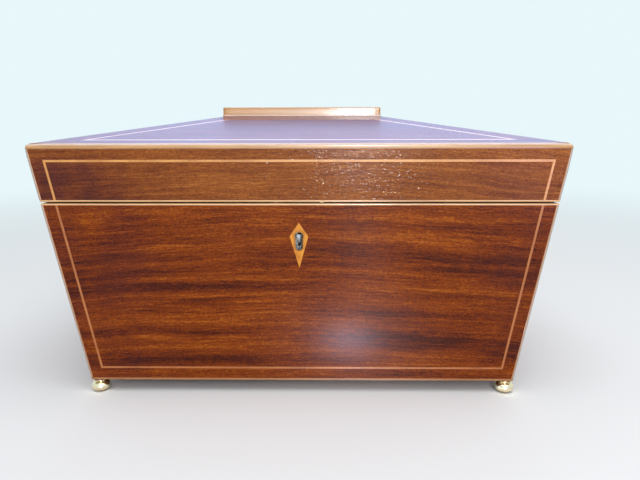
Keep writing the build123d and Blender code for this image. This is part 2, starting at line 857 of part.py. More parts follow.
with BuildPart() as roof_veneer:
    add(roof_block(lid_wall_top_z, 0, top_edging_depth))
    add(roof_block(lid_wall_top_z, veneer, top_edging_depth), mode=Mode.SUBTRACT)
    add(tablet_place, mode=Mode.SUBTRACT)
    add(roof_frames.part, mode=Mode.SUBTRACT)
    add(all_roof_shares, mode=Mode.INTERSECT)
finish(roof_veneer, "roof_veneer")

with BuildPart() as lid_top_edging:
    add(leaning_block(lid_wall_top_z, lid_edge_z))
    add(roof_block(lid_edge_z, 0, 0))
    across, along = lid_width / 2 - top_edging_depth, lid_depth / 2 - top_edging_depth
    add(upright_box(-across, across, -along, along, lid_wall_top_z, ridge_z), mode=Mode.SUBTRACT)
    add(all_wall_shares, mode=Mode.INTERSECT)
finish(lid_top_edging, "lid_top_edging")

# Tablet: a block let into the roof, with boxwood strips round its top edge
core_x = tablet_width / 2 - tablet_edging_depth
core_y = tablet_depth / 2 - tablet_edging_depth
tablet_core = upright_box(-core_x, core_x, -core_y, core_y, tablet_band_z, tablet_top_z)
tablet_band = upright_box(
    -tablet_width / 2, tablet_width / 2, -tablet_depth / 2, tablet_depth / 2,
    tablet_band_z, tablet_top_z,
)

with BuildPart() as tablet:
    add(tablet_place)
    add(tablet_band, mode=Mode.SUBTRACT)
    add(tablet_core)
finish(tablet, "tablet")

with BuildPart() as tablet_edging:
    add(tablet_band)
    add(tablet_core, mode=Mode.SUBTRACT)
finish(tablet_edging, "tablet_edging")

with BuildPart() as lid_lining:
    add(leaning_block(lid_wall_top_z - lining_thickness, lid_wall_top_z, wall + lining_clearance))
finish(lid_lining, "lid_lining")
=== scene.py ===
"""Sarcophagus-shaped tea caddy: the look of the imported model, in metres in its own frame."""

import math

import bmesh
import bpy
import numpy as np
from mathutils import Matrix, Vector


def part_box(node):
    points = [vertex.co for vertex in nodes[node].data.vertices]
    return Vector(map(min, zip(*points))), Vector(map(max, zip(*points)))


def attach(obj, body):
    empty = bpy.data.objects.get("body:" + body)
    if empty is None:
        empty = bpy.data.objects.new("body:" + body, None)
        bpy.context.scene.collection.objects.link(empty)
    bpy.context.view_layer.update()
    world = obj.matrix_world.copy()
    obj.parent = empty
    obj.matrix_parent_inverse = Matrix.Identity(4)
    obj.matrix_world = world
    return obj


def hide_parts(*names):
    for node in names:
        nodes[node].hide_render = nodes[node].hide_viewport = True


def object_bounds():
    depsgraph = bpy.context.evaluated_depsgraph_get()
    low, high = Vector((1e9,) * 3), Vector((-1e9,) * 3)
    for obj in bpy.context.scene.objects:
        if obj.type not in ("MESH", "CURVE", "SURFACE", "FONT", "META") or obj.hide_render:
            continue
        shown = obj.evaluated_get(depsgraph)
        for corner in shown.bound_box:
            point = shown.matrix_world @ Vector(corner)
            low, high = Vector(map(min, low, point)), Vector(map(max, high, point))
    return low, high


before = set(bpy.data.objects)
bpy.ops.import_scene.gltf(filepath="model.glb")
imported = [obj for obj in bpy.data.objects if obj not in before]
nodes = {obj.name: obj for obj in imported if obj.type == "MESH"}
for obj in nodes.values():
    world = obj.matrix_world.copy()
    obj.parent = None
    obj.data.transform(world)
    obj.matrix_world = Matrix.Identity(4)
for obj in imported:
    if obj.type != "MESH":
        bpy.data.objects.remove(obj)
packed_low, packed_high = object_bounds()

# Camera. It stands in front of the caddy, a little to the right of its middle and just above
# the roof, turned down by 12.5 degrees, as the photograph was taken


def put_in_scene(name, data):
    """Object with that name and data, linked into the scene."""
    made = bpy.data.objects.new(name, data)
    bpy.context.scene.collection.objects.link(made)
    return made


camera_data = bpy.data.cameras.new("camera")
camera_data.lens = 31.5
camera_data.sensor_width = 36.0
camera_data.clip_start = 0.02
camera = put_in_scene("camera", camera_data)
turned_down, rolled, turned_left = 0.219, 0.002, 0.012
camera.location = (0.0170, -0.4216, 0.1824)
camera.rotation_euler = (math.pi / 2 - turned_down, rolled, turned_left)
bpy.context.scene.camera = camera
bpy.context.scene.view_settings.view_transform = "Standard"

# Room. A plain pale floor that keeps the caddy's shadow near it and passes into a pale
# background further out, with soft daylight from all round. Glowing spots painted on the floor,
# seen only in reflections, give the polish its glare
background = (0.80, 0.93, 0.96, 1.0)
daylight, daylight_strength = (0.93, 0.97, 1.0, 1.0), 0.62
floor_colour = (0.80, 0.81, 0.82, 1.0)
shadow_reach, floor_reach, floor_half = 0.3, 1.3, 9.0


def plug(node, inputs):
    """Fills inputs of a node: one that is a socket is linked, a value is set."""
    for key, value in inputs.items():
        if isinstance(value, bpy.types.NodeSocket):
            node.id_data.links.new(value, node.inputs[key])
        else:
            node.inputs[key].default_value = value


def add_node(tree, kind, inputs=None, **settings):
    """Outputs of a new shader node with its settings and inputs."""
    made = tree.nodes.new(kind)
    for key, value in settings.items():
        setattr(made, key, value)
    plug(made, inputs or {})
    return made.outputs


def calc(tree, operation, a, b=0.0, c=0.0):
    """One step of arithmetic on sockets or numbers."""
    return add_node(tree, "ShaderNodeMath", {0: a, 1: b, 2: c}, operation=operation)[0]


def climbs(tree, value, low, high):
    """Smooth step of a value from 0 at one place to 1 at another."""
    return add_node(
        tree, "ShaderNodeMapRange", {"Value": value, "From Min": low, "From Max": high},
        interpolation_type="SMOOTHSTEP",
    )[0]


def seen_directly(tree):
    """1 on a ray from the camera, a mirror or a glass, and 0 on one that carries soft light."""
    path = add_node(tree, "ShaderNodeLightPath")
    gloss = calc(tree, "MAXIMUM", path["Is Camera Ray"], path["Is Glossy Ray"])
    return calc(tree, "MAXIMUM", gloss, path["Is Transmission Ray"])


def empty_tree(owner):
    """Node tree of a world or a material without its first nodes."""
    owner.use_nodes = True
    owner.node_tree.nodes.clear()
    return owner.node_tree


world = bpy.data.worlds.new("daylight")
bpy.context.scene.world = world
tree = empty_tree(world)
plain = add_node(tree, "ShaderNodeBackground", {"Color": background, "Strength": 1.0})[0]
soft = add_node(tree, "ShaderNodeBackground", {"Color": daylight, "Strength": daylight_strength})[0]
mixed = add_node(tree, "ShaderNodeMixShader", {0: seen_directly(tree), 1: soft, 2: plain})[0]
add_node(tree, "ShaderNodeOutputWorld", {"Surface": mixed})

floor_mesh = bpy.data.meshes.new("floor")
floor_corners = [(x * floor_half, y * floor_half, 0.0) for x, y in ((-1, -1), (1, -1), (1, 1), (-1, 1))]
floor_mesh.from_pydata(floor_corners, [], [(0, 1, 2, 3)])
floor = put_in_scene("floor", floor_mesh)
floor_paint = bpy.data.materials.new("floor_paint")
tree = empty_tree(floor_paint)
place = add_node(tree, "ShaderNodeTexCoord")["Object"]
away = add_node(tree, "ShaderNodeVectorMath", {0: place}, operation="LENGTH")["Value"]
share = calc(tree, "MULTIPLY", climbs(tree, away, shadow_reach, floor_reach), seen_directly(tree))
matt = add_node(tree, "ShaderNodeBsdfDiffuse", {"Color": floor_colour})[0]
glow = add_node(tree, "ShaderNodeEmission", {"Color": background, "Strength": 1.0})[0]
mixed = add_node(tree, "ShaderNodeMixShader", {0: share, 1: matt, 2: glow})[0]


def painted_glare_spot(tree, place, centre, reach, colour):
    """Colour times exp(-d), where d is the squared distance of a place from a centre on the floor
    in units of the two reaches."""
    offset = add_node(
        tree, "ShaderNodeMapping",
        {
            "Vector": place,
            "Location": (-centre[0] / reach[0], -centre[1] / reach[1], 0.0),
            "Scale": (1.0 / reach[0], 1.0 / reach[1], 1.0),
        },
    )[0]
    far = add_node(tree, "ShaderNodeVectorMath", {0: offset, 1: offset}, operation="DOT_PRODUCT")["Value"]
    bell = calc(tree, "EXPONENT", calc(tree, "MULTIPLY", far, -1.0))
    return add_node(tree, "ShaderNodeVectorMath", {0: colour, "Scale": bell}, operation="SCALE")[0]


# Painted glare: glowing spots on the floor, seen only in reflections, that light the polish
glare = (0.0, 0.0, 0.0)
for centre, reach, colour in (
    ((0.033, -0.134), (0.021, 0.024), (13.0, 16.0, 22.5)),
    ((0.038, -0.143), (0.050, 0.060), (4.4, 5.6, 6.8)),
    ((0.074, -0.530), (0.055, 0.150), (1.2, 1.1, 1.1)),
    ((0.052, -0.300), (0.030, 0.170), (2.6, 2.8, 3.0)),
    ((0.315, -0.560), (0.070, 0.130), (9.0, 6.5, 12.0)),
):
    spot = painted_glare_spot(tree, place, centre, reach, colour)
    glare = add_node(tree, "ShaderNodeVectorMath", {0: glare, 1: spot}, operation="ADD")[0]
in_polish = add_node(tree, "ShaderNodeLightPath")["Is Glossy Ray"]
shine = add_node(tree, "ShaderNodeEmission", {"Color": glare, "Strength": in_polish})[0]
lit = add_node(tree, "ShaderNodeAddShader", {0: mixed, 1: shine})[0]
add_node(tree, "ShaderNodeOutputMaterial", {"Surface": lit})
floor_mesh.materials.append(floor_paint)

# Lamps. A tall soft one stands behind the camera on the right, a broad one hangs overhead and a
# weaker one stands behind. The panes after them are only seen in polish: a window, a pale room and
# a small bright lamp behind the camera, and a lavender wall behind that gives the roof its sheen


def soft_lamp(name, power, size, at, aim, colour=(1.0, 1.0, 1.0), only_in_polish=False):
    """Rectangular lamp of a width and a height at a place, turned towards a point."""
    data = bpy.data.lights.new(name, "AREA")
    data.shape = "RECTANGLE"
    data.size, data.size_y = size
    data.energy = power
    data.color = colour
    lamp = put_in_scene(name, data)
    back = np.array(at, float) - np.array(aim, float)
    turn = math.atan2(back[0], -back[1])
    tip = math.atan2(math.hypot(back[0], back[1]), back[2])
    lamp.location = at
    lamp.rotation_euler = (tip, 0.0, turn)
    lamp.visible_camera = False
    lamp.visible_diffuse = not only_in_polish
    lamp.visible_transmission = not only_in_polish


window_light = (0.97, 0.98, 1.0)
soft_lamp("window_lamp", 3.4, (0.25, 0.55), (0.20, -1.05, 0.50), (0.03, -0.08, 0.09), window_light)
soft_lamp("ceiling_lamp", 9.0, (1.2, 1.0), (0.15, -0.45, 1.25), (0.0, 0.0, 0.08))
soft_lamp("wall_lamp", 1.6, (1.4, 0.7), (0.1, 1.3, 0.85), (0.0, 0.0, 0.15), (0.86, 0.90, 1.0))
for name, power, size, at, aim, colour in (
    ("window_pane", 4.2, (0.13, 0.26), (0.105, -1.05, 0.24), (0.03, -0.05, 0.18), (0.90, 0.96, 1.0)),
    ("room_pane", 1.1, (0.60, 0.16), (-0.04, -1.06, 0.19), (0.0, -0.05, 0.18), (1.0, 0.93, 0.90)),
    ("glint_pane", 9.0, (0.09, 0.15), (0.092, -1.02, 0.09), (0.03, -0.08, 0.15), window_light),
    ("sheen_pane", 8.7, (1.9, 1.10), (0.05, 1.2, 1.10), (0.0, 0.0, 0.17), (0.22, 0.36, 0.96)),
):
    soft_lamp(name, power, size, at, aim, colour, only_in_polish=True)

# Carcass. Ten millimetre mahogany boards, planed and mitred at the corners, with a board let in
# below them. Their inner faces are oiled, and the rim is what shows when the lid is up
along_x = (0.0, 0.0, 0.0)
along_y = (0.0, 0.0, math.pi / 2)
flat_along_x = (math.pi / 2, 0.0, 0.0)


def grain_place(tree, turn=along_x):
    """Place on a piece in metres, turned so that the grain runs along X and its layers along Z."""
    where = add_node(tree, "ShaderNodeTexCoord")["Object"]
    return add_node(tree, "ShaderNodeMapping", {"Vector": where, "Rotation": turn})[0]


def speckle(tree, vector, scale, detail=2.0, roughness=0.5):
    """Noise from 0 to 1 over a place stretched by a scale along each axis."""
    stretched = add_node(tree, "ShaderNodeMapping", {"Vector": vector, "Scale": scale})[0]
    return add_node(
        tree, "ShaderNodeTexNoise",
        {"Vector": stretched, "Scale": 1.0, "Detail": detail, "Roughness": roughness},
    )["Fac"]


def blend_tones(tree, value, tones):
    """Colour picked from a list of (position, colour) by a value from 0 to 1."""
    ramp = tree.nodes.new("ShaderNodeValToRGB")
    plug(ramp, {"Fac": value})
    stops = ramp.color_ramp.elements
    while len(stops) < len(tones):
        stops.new(0.5)
    for stop, (position, colour) in zip(stops, tones):
        stop.position = position
        stop.color = (*colour, 1.0)
    return ramp.outputs["Color"]


def mix_tones(tree, share, under, over):
    """Colour that passes from one to another by a share from 0 to 1."""
    return add_node(tree, "ShaderNodeMix", {0: share, 6: under, 7: over}, data_type="RGBA")[2]


def bump(tree, height, strength, distance):
    """Normal bent by a height over a distance in metres."""
    return add_node(
        tree, "ShaderNodeBump", {"Height": height, "Strength": strength, "Distance": distance}
    )[0]


def shader_of(finish):
    """Principled shader of a finish."""
    return finish.node_tree.nodes["Principled BSDF"]


def start_finish(name):
    """New material with its node tree."""
    finish = bpy.data.materials.new(name)
    finish.use_nodes = True
    return finish, finish.node_tree


def tinted(finish, mask, colour):
    """Lays a colour over a finish by a mask from 0 to 1."""
    shader = shader_of(finish)
    under = shader.inputs["Base Color"].links[0].from_socket
    plug(shader, {"Base Color": mix_tones(finish.node_tree, mask, under, (*colour, 1.0))})


def dress(finish, *names):
    """Gives a finish to CAD nodes, whose meshes stay as they are."""
    for name in names:
        nodes[name].data.materials.clear()
        nodes[name].data.materials.append(finish)


def board_wood(name, turn, dark, light, coat=0.0, coat_roughness=0.03):
    """Plain mahogany board: long streaks, fine open pores and slow changes of tone."""
    finish, tree = start_finish(name)
    place = grain_place(tree, turn)
    slow = speckle(tree, place, (5.0, 30.0, 60.0), 3.0)
    streak = speckle(tree, place, (18.0, 300.0, 480.0), 3.0, 0.6)
    pores = calc(tree, "GREATER_THAN", speckle(tree, place, (260.0, 3200.0, 3200.0), 1.0), 0.66)
    tone = calc(tree, "MULTIPLY_ADD", slow, 0.6, calc(tree, "MULTIPLY", streak, 0.4))
    plug(shader_of(finish), {
        "Base Color": blend_tones(tree, tone, [(0.32, dark), (0.68, light)]),
        "Roughness": calc(tree, "MULTIPLY_ADD", streak, 0.2, 0.38),
        "Normal": bump(tree, calc(tree, "SUBTRACT", streak, pores), 0.35, 0.0001),
        "Specular IOR Level": 0.35,
        "Coat Weight": coat,
        "Coat Roughness": coat_roughness,
    })
    tinted(finish, calc(tree, "MULTIPLY", pores, 0.45), [0.3 * part for part in dark])
    return finish


wall_tones = ((0.115, 0.036, 0.016), (0.225, 0.082, 0.036))
long_board = board_wood("long_board_mahogany", along_x, *wall_tones)
end_board = board_wood("end_board_mahogany", along_y, *wall_tones)
flat_board = board_wood("flat_board_mahogany", flat_along_x, (0.12, 0.042, 0.020), (0.235, 0.092, 0.044))
dress(long_board, "base_front_board", "base_back_board", "lid_front_board", "lid_back_board")
dress(end_board, "base_left_board", "base_right_board", "lid_left_board", "lid_right_board")
dress(end_board, "left_partition", "right_partition", "left_tea_well", "right_tea_well")
dress(flat_board, "base_bottom_board", "bowl_floor", "lid_roof_board")

# Veneer of the walls. One millimetre of figured mahogany, its stripes running level round the
# caddy, darker and purpler towards the corners in patches, partly painted shade, french polished
# until the pores are all but full
caddy_half_width, caddy_half_depth = packed_high.x, packed_high.y


def split(tree, vector):
    """The three parts of a place."""
    return add_node(tree, "ShaderNodeSeparateXYZ", {0: vector})


def turned_grain(turn):
    """Function that gives the place on a piece with its grain turned so."""
    return lambda tree: grain_place(tree, turn)


def stirred(tree, value, noise, share):
    """Value plus a share of how far a noise lies from its middle."""
    return calc(tree, "MULTIPLY_ADD", calc(tree, "SUBTRACT", noise, 0.5), share, value)


def figured_veneer(name, place_of, half_span, figures, pass_at, tones, tilt, seed, gain, ends, ripple):
    """Mahogany veneer with wavy level stripes.

    The height on the leaf plus a tilt and a shallow arch along it is bent by slow noise, then picks
    a tone from two figures, lists of (height in metres, darkness) for the left and the right part,
    which pass into each other between two places. Each end of the half span is darker and purpler
    by its own share, in patches and less near the eaves: partly the wood's tone, partly painted
    shade. Ribbons, streaks, fibres and flecks are laid over it with a gain, then the pores, and the
    polish has a fine ripple. The seed shifts all the noise.
    """
    slow_bend, small_bend, arch, ragged = 0.012, 0.0035, 0.25, 0.05
    left_fade, right_fade, eaves_fade, eaves_pale = (0.38, 0.86), (0.55, 0.90), (0.152, 0.162), 0.75
    finish, tree = start_finish(name)
    place = place_of(tree)
    shift = (seed, seed * 0.7, 0.0)
    spot = add_node(tree, "ShaderNodeVectorMath", {0: place, 1: shift}, operation="ADD")[0]
    along, across, level = split(tree, place)
    slow = speckle(tree, spot, (6.0, 2.0, 14.0), 2.0)
    small = speckle(tree, spot, (24.0, 2.0, 70.0), 2.0)
    bend = stirred(tree, stirred(tree, level, slow, slow_bend), small, small_bend)
    bend = calc(tree, "MULTIPLY_ADD", along, tilt, bend)
    bend = calc(tree, "MULTIPLY_ADD", calc(tree, "MULTIPLY", along, along), arch, bend)
    stripes = []
    for figure in figures:
        low, high = figure[0][0], figure[-1][0]
        height = add_node(tree, "ShaderNodeMapRange", {"Value": bend, "From Min": low, "From Max": high})[0]
        stops = [((z - low) / (high - low), (dark, dark, dark)) for z, dark in figure]
        stripes.append(blend_tones(tree, height, stops))
    side = climbs(tree, calc(tree, "MULTIPLY_ADD", small, ragged, along), *pass_at)
    both = mix_tones(tree, side, *stripes)
    bent = add_node(tree, "ShaderNodeCombineXYZ", {0: split(tree, spot)[0], 1: across, 2: bend})[0]
    ribbon = speckle(tree, bent, (4.0, 1.0, 110.0), 3.0, 0.6)
    band = speckle(tree, bent, (10.0, 1.0, 270.0), 2.0, 0.6)
    streak = speckle(tree, bent, (26.0, 1.0, 620.0), 2.0, 0.6)
    fibre = speckle(tree, bent, (170.0, 1.0, 1500.0), 1.0, 0.7)
    fleck = speckle(tree, bent, (620.0, 1.0, 1300.0), 1.0)
    mottle = speckle(tree, spot, (40.0, 2.0, 60.0), 3.0, 0.6)
    patches = speckle(tree, spot, (34.0, 2.0, 26.0), 2.0, 0.6)
    fade = speckle(tree, spot, (11.0, 1.0, 30.0), 1.0)
    weight = add_node(
        tree, "ShaderNodeMapRange", {"Value": fade, "From Min": 0.30, "From Max": 0.55, "To Min": 0.45}
    )[0]
    # Painted shade with the wood's own tone: darker towards each end, in patches
    left_end = climbs(tree, along, *(-half_span * share for share in left_fade))
    right_end = climbs(tree, along, *(half_span * share for share in right_fade))
    end_tone_and_shade = calc(tree, "MULTIPLY_ADD", left_end, ends[0], calc(tree, "MULTIPLY", right_end, ends[1]))
    end_tone_and_shade = calc(tree, "MULTIPLY", end_tone_and_shade, calc(tree, "MULTIPLY_ADD", patches, 4.6, -1.3))
    below_eaves = calc(tree, "MULTIPLY_ADD", climbs(tree, level, *eaves_fade), -eaves_pale, 1.0)
    end_tone_and_shade = calc(tree, "MULTIPLY", end_tone_and_shade, below_eaves)
    tone = calc(tree, "SUBTRACT", 0.70, calc(tree, "MULTIPLY_ADD", both, weight, end_tone_and_shade))
    layers = ((ribbon, 0.50), (band, 0.58), (streak, 0.90), (fibre, 0.78), (fleck, 0.70), (mottle, 0.24))
    for layer, share in layers:
        tone = stirred(tree, tone, layer, share * gain)
    pores = calc(tree, "GREATER_THAN", speckle(tree, bent, (480.0, 1.0, 2600.0), 1.0), 0.62)
    hollows = speckle(tree, place, (60.0, 60.0, 160.0), 2.0)
    grain = calc(tree, "MULTIPLY_ADD", fibre, 0.5, hollows)
    grain = calc(tree, "SUBTRACT", grain, calc(tree, "MULTIPLY", pores, 0.8))
    skin = speckle(tree, place, (470.0, 470.0, 1020.0), 1.0)
    skin = calc(tree, "MULTIPLY_ADD", skin, ripple, calc(tree, "MULTIPLY", hollows, 0.4))
    plug(shader_of(finish), {
        "Base Color": blend_tones(tree, tone, tones),
        "Roughness": calc(tree, "MULTIPLY_ADD", mottle, 0.18, 0.34),
        "Normal": bump(tree, grain, 0.30, 0.00006),
        "Specular IOR Level": 0.04,
        "Coat Weight": 0.15,
        "Coat Roughness": 0.09,
        "Coat IOR": 1.48,
        "Coat Normal": bump(tree, skin, 1.0, 0.00008),
    })
    # Darker, purpler ends: partly painted shade
    tinted(finish, calc(tree, "MULTIPLY", end_tone_and_shade, 1.1), (0.115, 0.026, 0.026))
    tinted(finish, calc(tree, "MULTIPLY", pores, 0.50), (0.028, 0.006, 0.003))
    return finish


left_figure = [
    (0.0090, 0.10), (0.0171, 0.02), (0.0236, 0.60), (0.0301, 0.22), (0.0341, -0.14), (0.0421, 0.06),
    (0.0465, 0.36), (0.0505, 0.08), (0.0551, -0.02), (0.0621, 0.04), (0.0681, 0.26), (0.0721, 0.02),
    (0.0771, 0.54), (0.0831, 0.04), (0.0881, 0.34), (0.0935, 0.04), (0.0980, 0.34), (0.1035, 0.04),
    (0.1161, 0.14), (0.1311, 0.04),
]
right_figure = [
    (0.0090, 0.06), (0.0171, 0.20), (0.0221, 0.02), (0.0301, 0.12), (0.0376, 0.40), (0.0441, 0.52),
    (0.0491, 0.08), (0.0541, 0.14), (0.0606, 0.30), (0.0661, -0.02), (0.0701, 0.04), (0.0745, 0.24),
    (0.0785, 0.00), (0.0835, 0.24), (0.0870, 0.08), (0.0915, 0.38), (0.0950, 0.20), (0.0991, 0.46),
    (0.1051, 0.04), (0.1131, 0.04), (0.1185, 0.20), (0.1235, -0.02), (0.1311, 0.06),
]
lid_left_figure = [(0.1318, 0.18), (0.1400, 0.20), (0.1480, 0.24), (0.1550, 0.10), (0.1635, 0.02)]
lid_right_figure = [(0.1318, 0.06), (0.1400, 0.04), (0.1480, 0.08), (0.1550, -0.04), (0.1635, -0.06)]
tone_places = (0.08, 0.34, 0.58, 0.78, 0.98)
base_tones = list(zip(tone_places, (
    (0.042, 0.0058, 0.0018), (0.108, 0.0156, 0.0016), (0.194, 0.0325, 0.0014), (0.272, 0.0550, 0.0020),
    (0.400, 0.1040, 0.0070),
)))
# The lid's tones are lighter than the base's: partly painted reflection of the bright room in the polish
lid_tones = list(zip(tone_places, (
    (0.060, 0.0130, 0.0070), (0.140, 0.0310, 0.0085), (0.222, 0.0570, 0.0100), (0.300, 0.0860, 0.0140),
    (0.420, 0.1400, 0.0250),
)))
for side, turn, span, seed in (
    ("front", along_x, caddy_half_width, 0.0),
    ("back", along_x, caddy_half_width, 3.1),
    ("left", along_y, caddy_half_depth, 5.7),
    ("right", along_y, caddy_half_depth, 8.3),
):
    base_leaf = figured_veneer(
        f"base_{side}_mahogany", turned_grain(turn), span, (left_figure, right_figure), (-0.035, 0.085),
        base_tones, tilt=0.006, seed=seed, gain=1.0, ends=(0.13, 0.09), ripple=0.25,
    )
    lid_leaf = figured_veneer(
        f"lid_{side}_mahogany", turned_grain(turn), span, (lid_left_figure, lid_right_figure),
        (-0.110, 0.000), lid_tones, tilt=0.004, seed=seed + 0.4, gain=0.85, ends=(0.24, 0.04), ripple=2.9,
    )
    dress(base_leaf, f"base_{side}_veneer")
    dress(lid_leaf, f"lid_{side}_veneer")

# Stringing and edging. Thin strips of boxwood: square lines let into the veneer, and strips
# glued into rebates along every outer edge, whose corners hands and dusters have rounded
wall_lean = math.tan(math.radians(6.67))
edge_height = 0.1662


def boxwood(name, place_of, scales, pale, deep, coat=0.30, coat_roughness=0.14, specular=0.30):
    """Close-grained boxwood: fine lines along the strip and slow changes from straw to honey."""
    finish, tree = start_finish(name)
    place = place_of(tree)
    slow = speckle(tree, place, scales[0], 2.0)
    line = speckle(tree, place, scales[1], 2.0, 0.6)
    tone = calc(tree, "MULTIPLY_ADD", slow, 0.65, calc(tree, "MULTIPLY", line, 0.35))
    tones = [(0.30, deep), (0.52, pale), (0.75, [1.12 * part for part in pale])]
    plug(shader_of(finish), {
        "Base Color": blend_tones(tree, tone, tones),
        "Roughness": calc(tree, "MULTIPLY_ADD", slow, 0.16, 0.26),
        "Normal": bump(tree, line, 0.2, 0.00004),
        "Specular IOR Level": specular,
        "Coat Weight": coat,
        "Coat Roughness": coat_roughness,
    })
    return finish


def strip_place(tree):
    """Place on a strip from its own map: length along the strip, then width round it, in metres."""
    return add_node(tree, "ShaderNodeTexCoord")["UV"]


def arris_tone_and_highlight(finish, low, high, colour, share):
    """Lays a colour over a strip in patches, where its width round the section lies between two
    places: a darker line along an arris, or a pale painted highlight on it."""
    tree = finish.node_tree
    width = split(tree, strip_place(tree))["Y"]
    soft_edge = 0.0005
    past_low = climbs(tree, width, low - soft_edge, low)
    inside = calc(tree, "MULTIPLY", past_low, climbs(tree, width, high + soft_edge, high))
    patchy = speckle(tree, strip_place(tree), (120.0, 500.0, 1.0), 2.0)
    patchy = calc(tree, "MULTIPLY_ADD", patchy, share, share * 0.5)
    tinted(finish, calc(tree, "MULTIPLY", inside, patchy), colour)


line_scales = ((70.0, 70.0, 70.0), (700.0, 700.0, 700.0))
strip_scales = ((22.0, 300.0, 1.0), (60.0, 4200.0, 1.0))
worn_scales = ((26.0, 300.0, 1.0), (70.0, 4200.0, 1.0))
line_tones = ((0.680, 0.302, 0.076), (0.510, 0.189, 0.045))
line_boxwood = boxwood("line_boxwood", grain_place, line_scales, *line_tones)
lid_line_boxwood = boxwood("lid_line_boxwood", grain_place, line_scales, *line_tones)
# On the roof the stringing is painted paler and pinker: painted sheen of the polish there
tree = lid_line_boxwood.node_tree
roof_painted_sheen = climbs(tree, split(tree, grain_place(tree))["Z"], edge_height, edge_height + 0.0006)
tinted(lid_line_boxwood, roof_painted_sheen, (0.86, 0.66, 0.62))
dress(lid_line_boxwood, "lid_stringing")
base_line_boxwood = boxwood(
    "base_line_boxwood", grain_place, line_scales, (0.455, 0.150, 0.038), (0.340, 0.100, 0.024), coat=0.15
)
dress(base_line_boxwood, "base_stringing")
strip_boxwood = boxwood(
    "strip_boxwood", strip_place, strip_scales, (0.730, 0.430, 0.200), (0.540, 0.275, 0.112), coat=0.6
)
worn_highlit_boxwood = boxwood(
    "worn_highlit_boxwood", strip_place, worn_scales, (0.470, 0.215, 0.082), (0.330, 0.135, 0.048), coat=0.6
)
# Pale greyish line on the worn outer arris: partly wear, partly a painted highlight
arris_tone_and_highlight(worn_highlit_boxwood, 0.0, 0.0015, (0.420, 0.345, 0.300), 0.85)
foot_strip_boxwood = boxwood(
    "foot_strip_boxwood", strip_place, worn_scales, (0.420, 0.172, 0.056), (0.290, 0.105, 0.032)
)


def lay_mesh(name, points, faces, uvs=None, smooth=True):
    """Object with a mesh of those points and faces, its faces turned outwards."""
    mesh = bpy.data.meshes.new(name)
    mesh.from_pydata(points.reshape(-1, 3).tolist(), [], [tuple(f) for f in faces])
    if uvs is not None:
        layer = mesh.uv_layers.new(name="length_and_width")
        corner = np.zeros(len(mesh.loops), np.int32)
        mesh.loops.foreach_get("vertex_index", corner)
        layer.data.foreach_set("uv", uvs.reshape(-1, 2)[corner].astype(np.float32).ravel())
    work = bmesh.new()
    work.from_mesh(mesh)
    bmesh.ops.recalc_face_normals(work, faces=work.faces)
    work.to_mesh(mesh)
    work.free()
    mesh.polygons.foreach_set("use_smooth", np.full(len(mesh.polygons), smooth))
    return put_in_scene(name, mesh)


def grid_faces(rows, columns, wrap_rows=False, wrap_columns=False):
    """Squares between neighbouring points of a grid numbered row by row, joined round if it wraps."""
    row = np.arange(rows if wrap_rows else rows - 1)[:, None]
    column = np.arange(columns if wrap_columns else columns - 1)[None, :]
    next_row, next_column = (row + 1) % rows, (column + 1) % columns
    corners = (
        row * columns + column, row * columns + next_column,
        next_row * columns + next_column, next_row * columns + column,
    )
    return np.stack(np.broadcast_arrays(*corners), axis=-1).reshape(-1, 4)


def finish_piece(made, finish, body, slot, *stands_for):
    """Gives a new piece its finish and its body, and hides the CAD nodes that it stands for. The slot is
    not used.
    """
    made.data.materials.append(finish)
    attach(made, body)
    if stands_for:
        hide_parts(*stands_for)


def worn_section(depth, height, wear, steps=5):
    """Section of a strip as (inset, height) pairs: a rectangle whose two outer corners are worn
    to quarter circles of the given radii, lower first. It starts at the inner lower corner."""
    low, high = wear
    turn = np.linspace(0.0, math.pi / 2, steps)
    lower = np.stack([low - low * np.sin(turn), low - low * np.cos(turn)], axis=1)
    upper = np.stack([high - high * np.cos(turn), height - high + high * np.sin(turn)], axis=1)
    face = np.linspace(low, height - high, 4)[1:-1, None] * [0.0, 1.0]
    top = np.linspace(high, depth, 5)[1:, None] * [1.0, 0.0] + [0.0, height]
    return np.concatenate([[[depth, 0.0]], lower, face, upper, top])


def length_along(path):
    """Length along a path of places up to each of them."""
    return np.concatenate([[0.0], np.cumsum(np.linalg.norm(np.diff(path, axis=0), axis=1))])


def wall_half(rise):
    """Half width and half depth of the caddy's leaning faces at heights."""
    drop = wall_lean * np.maximum(edge_height - rise, 0.0)
    return caddy_half_width - drop, caddy_half_depth - drop


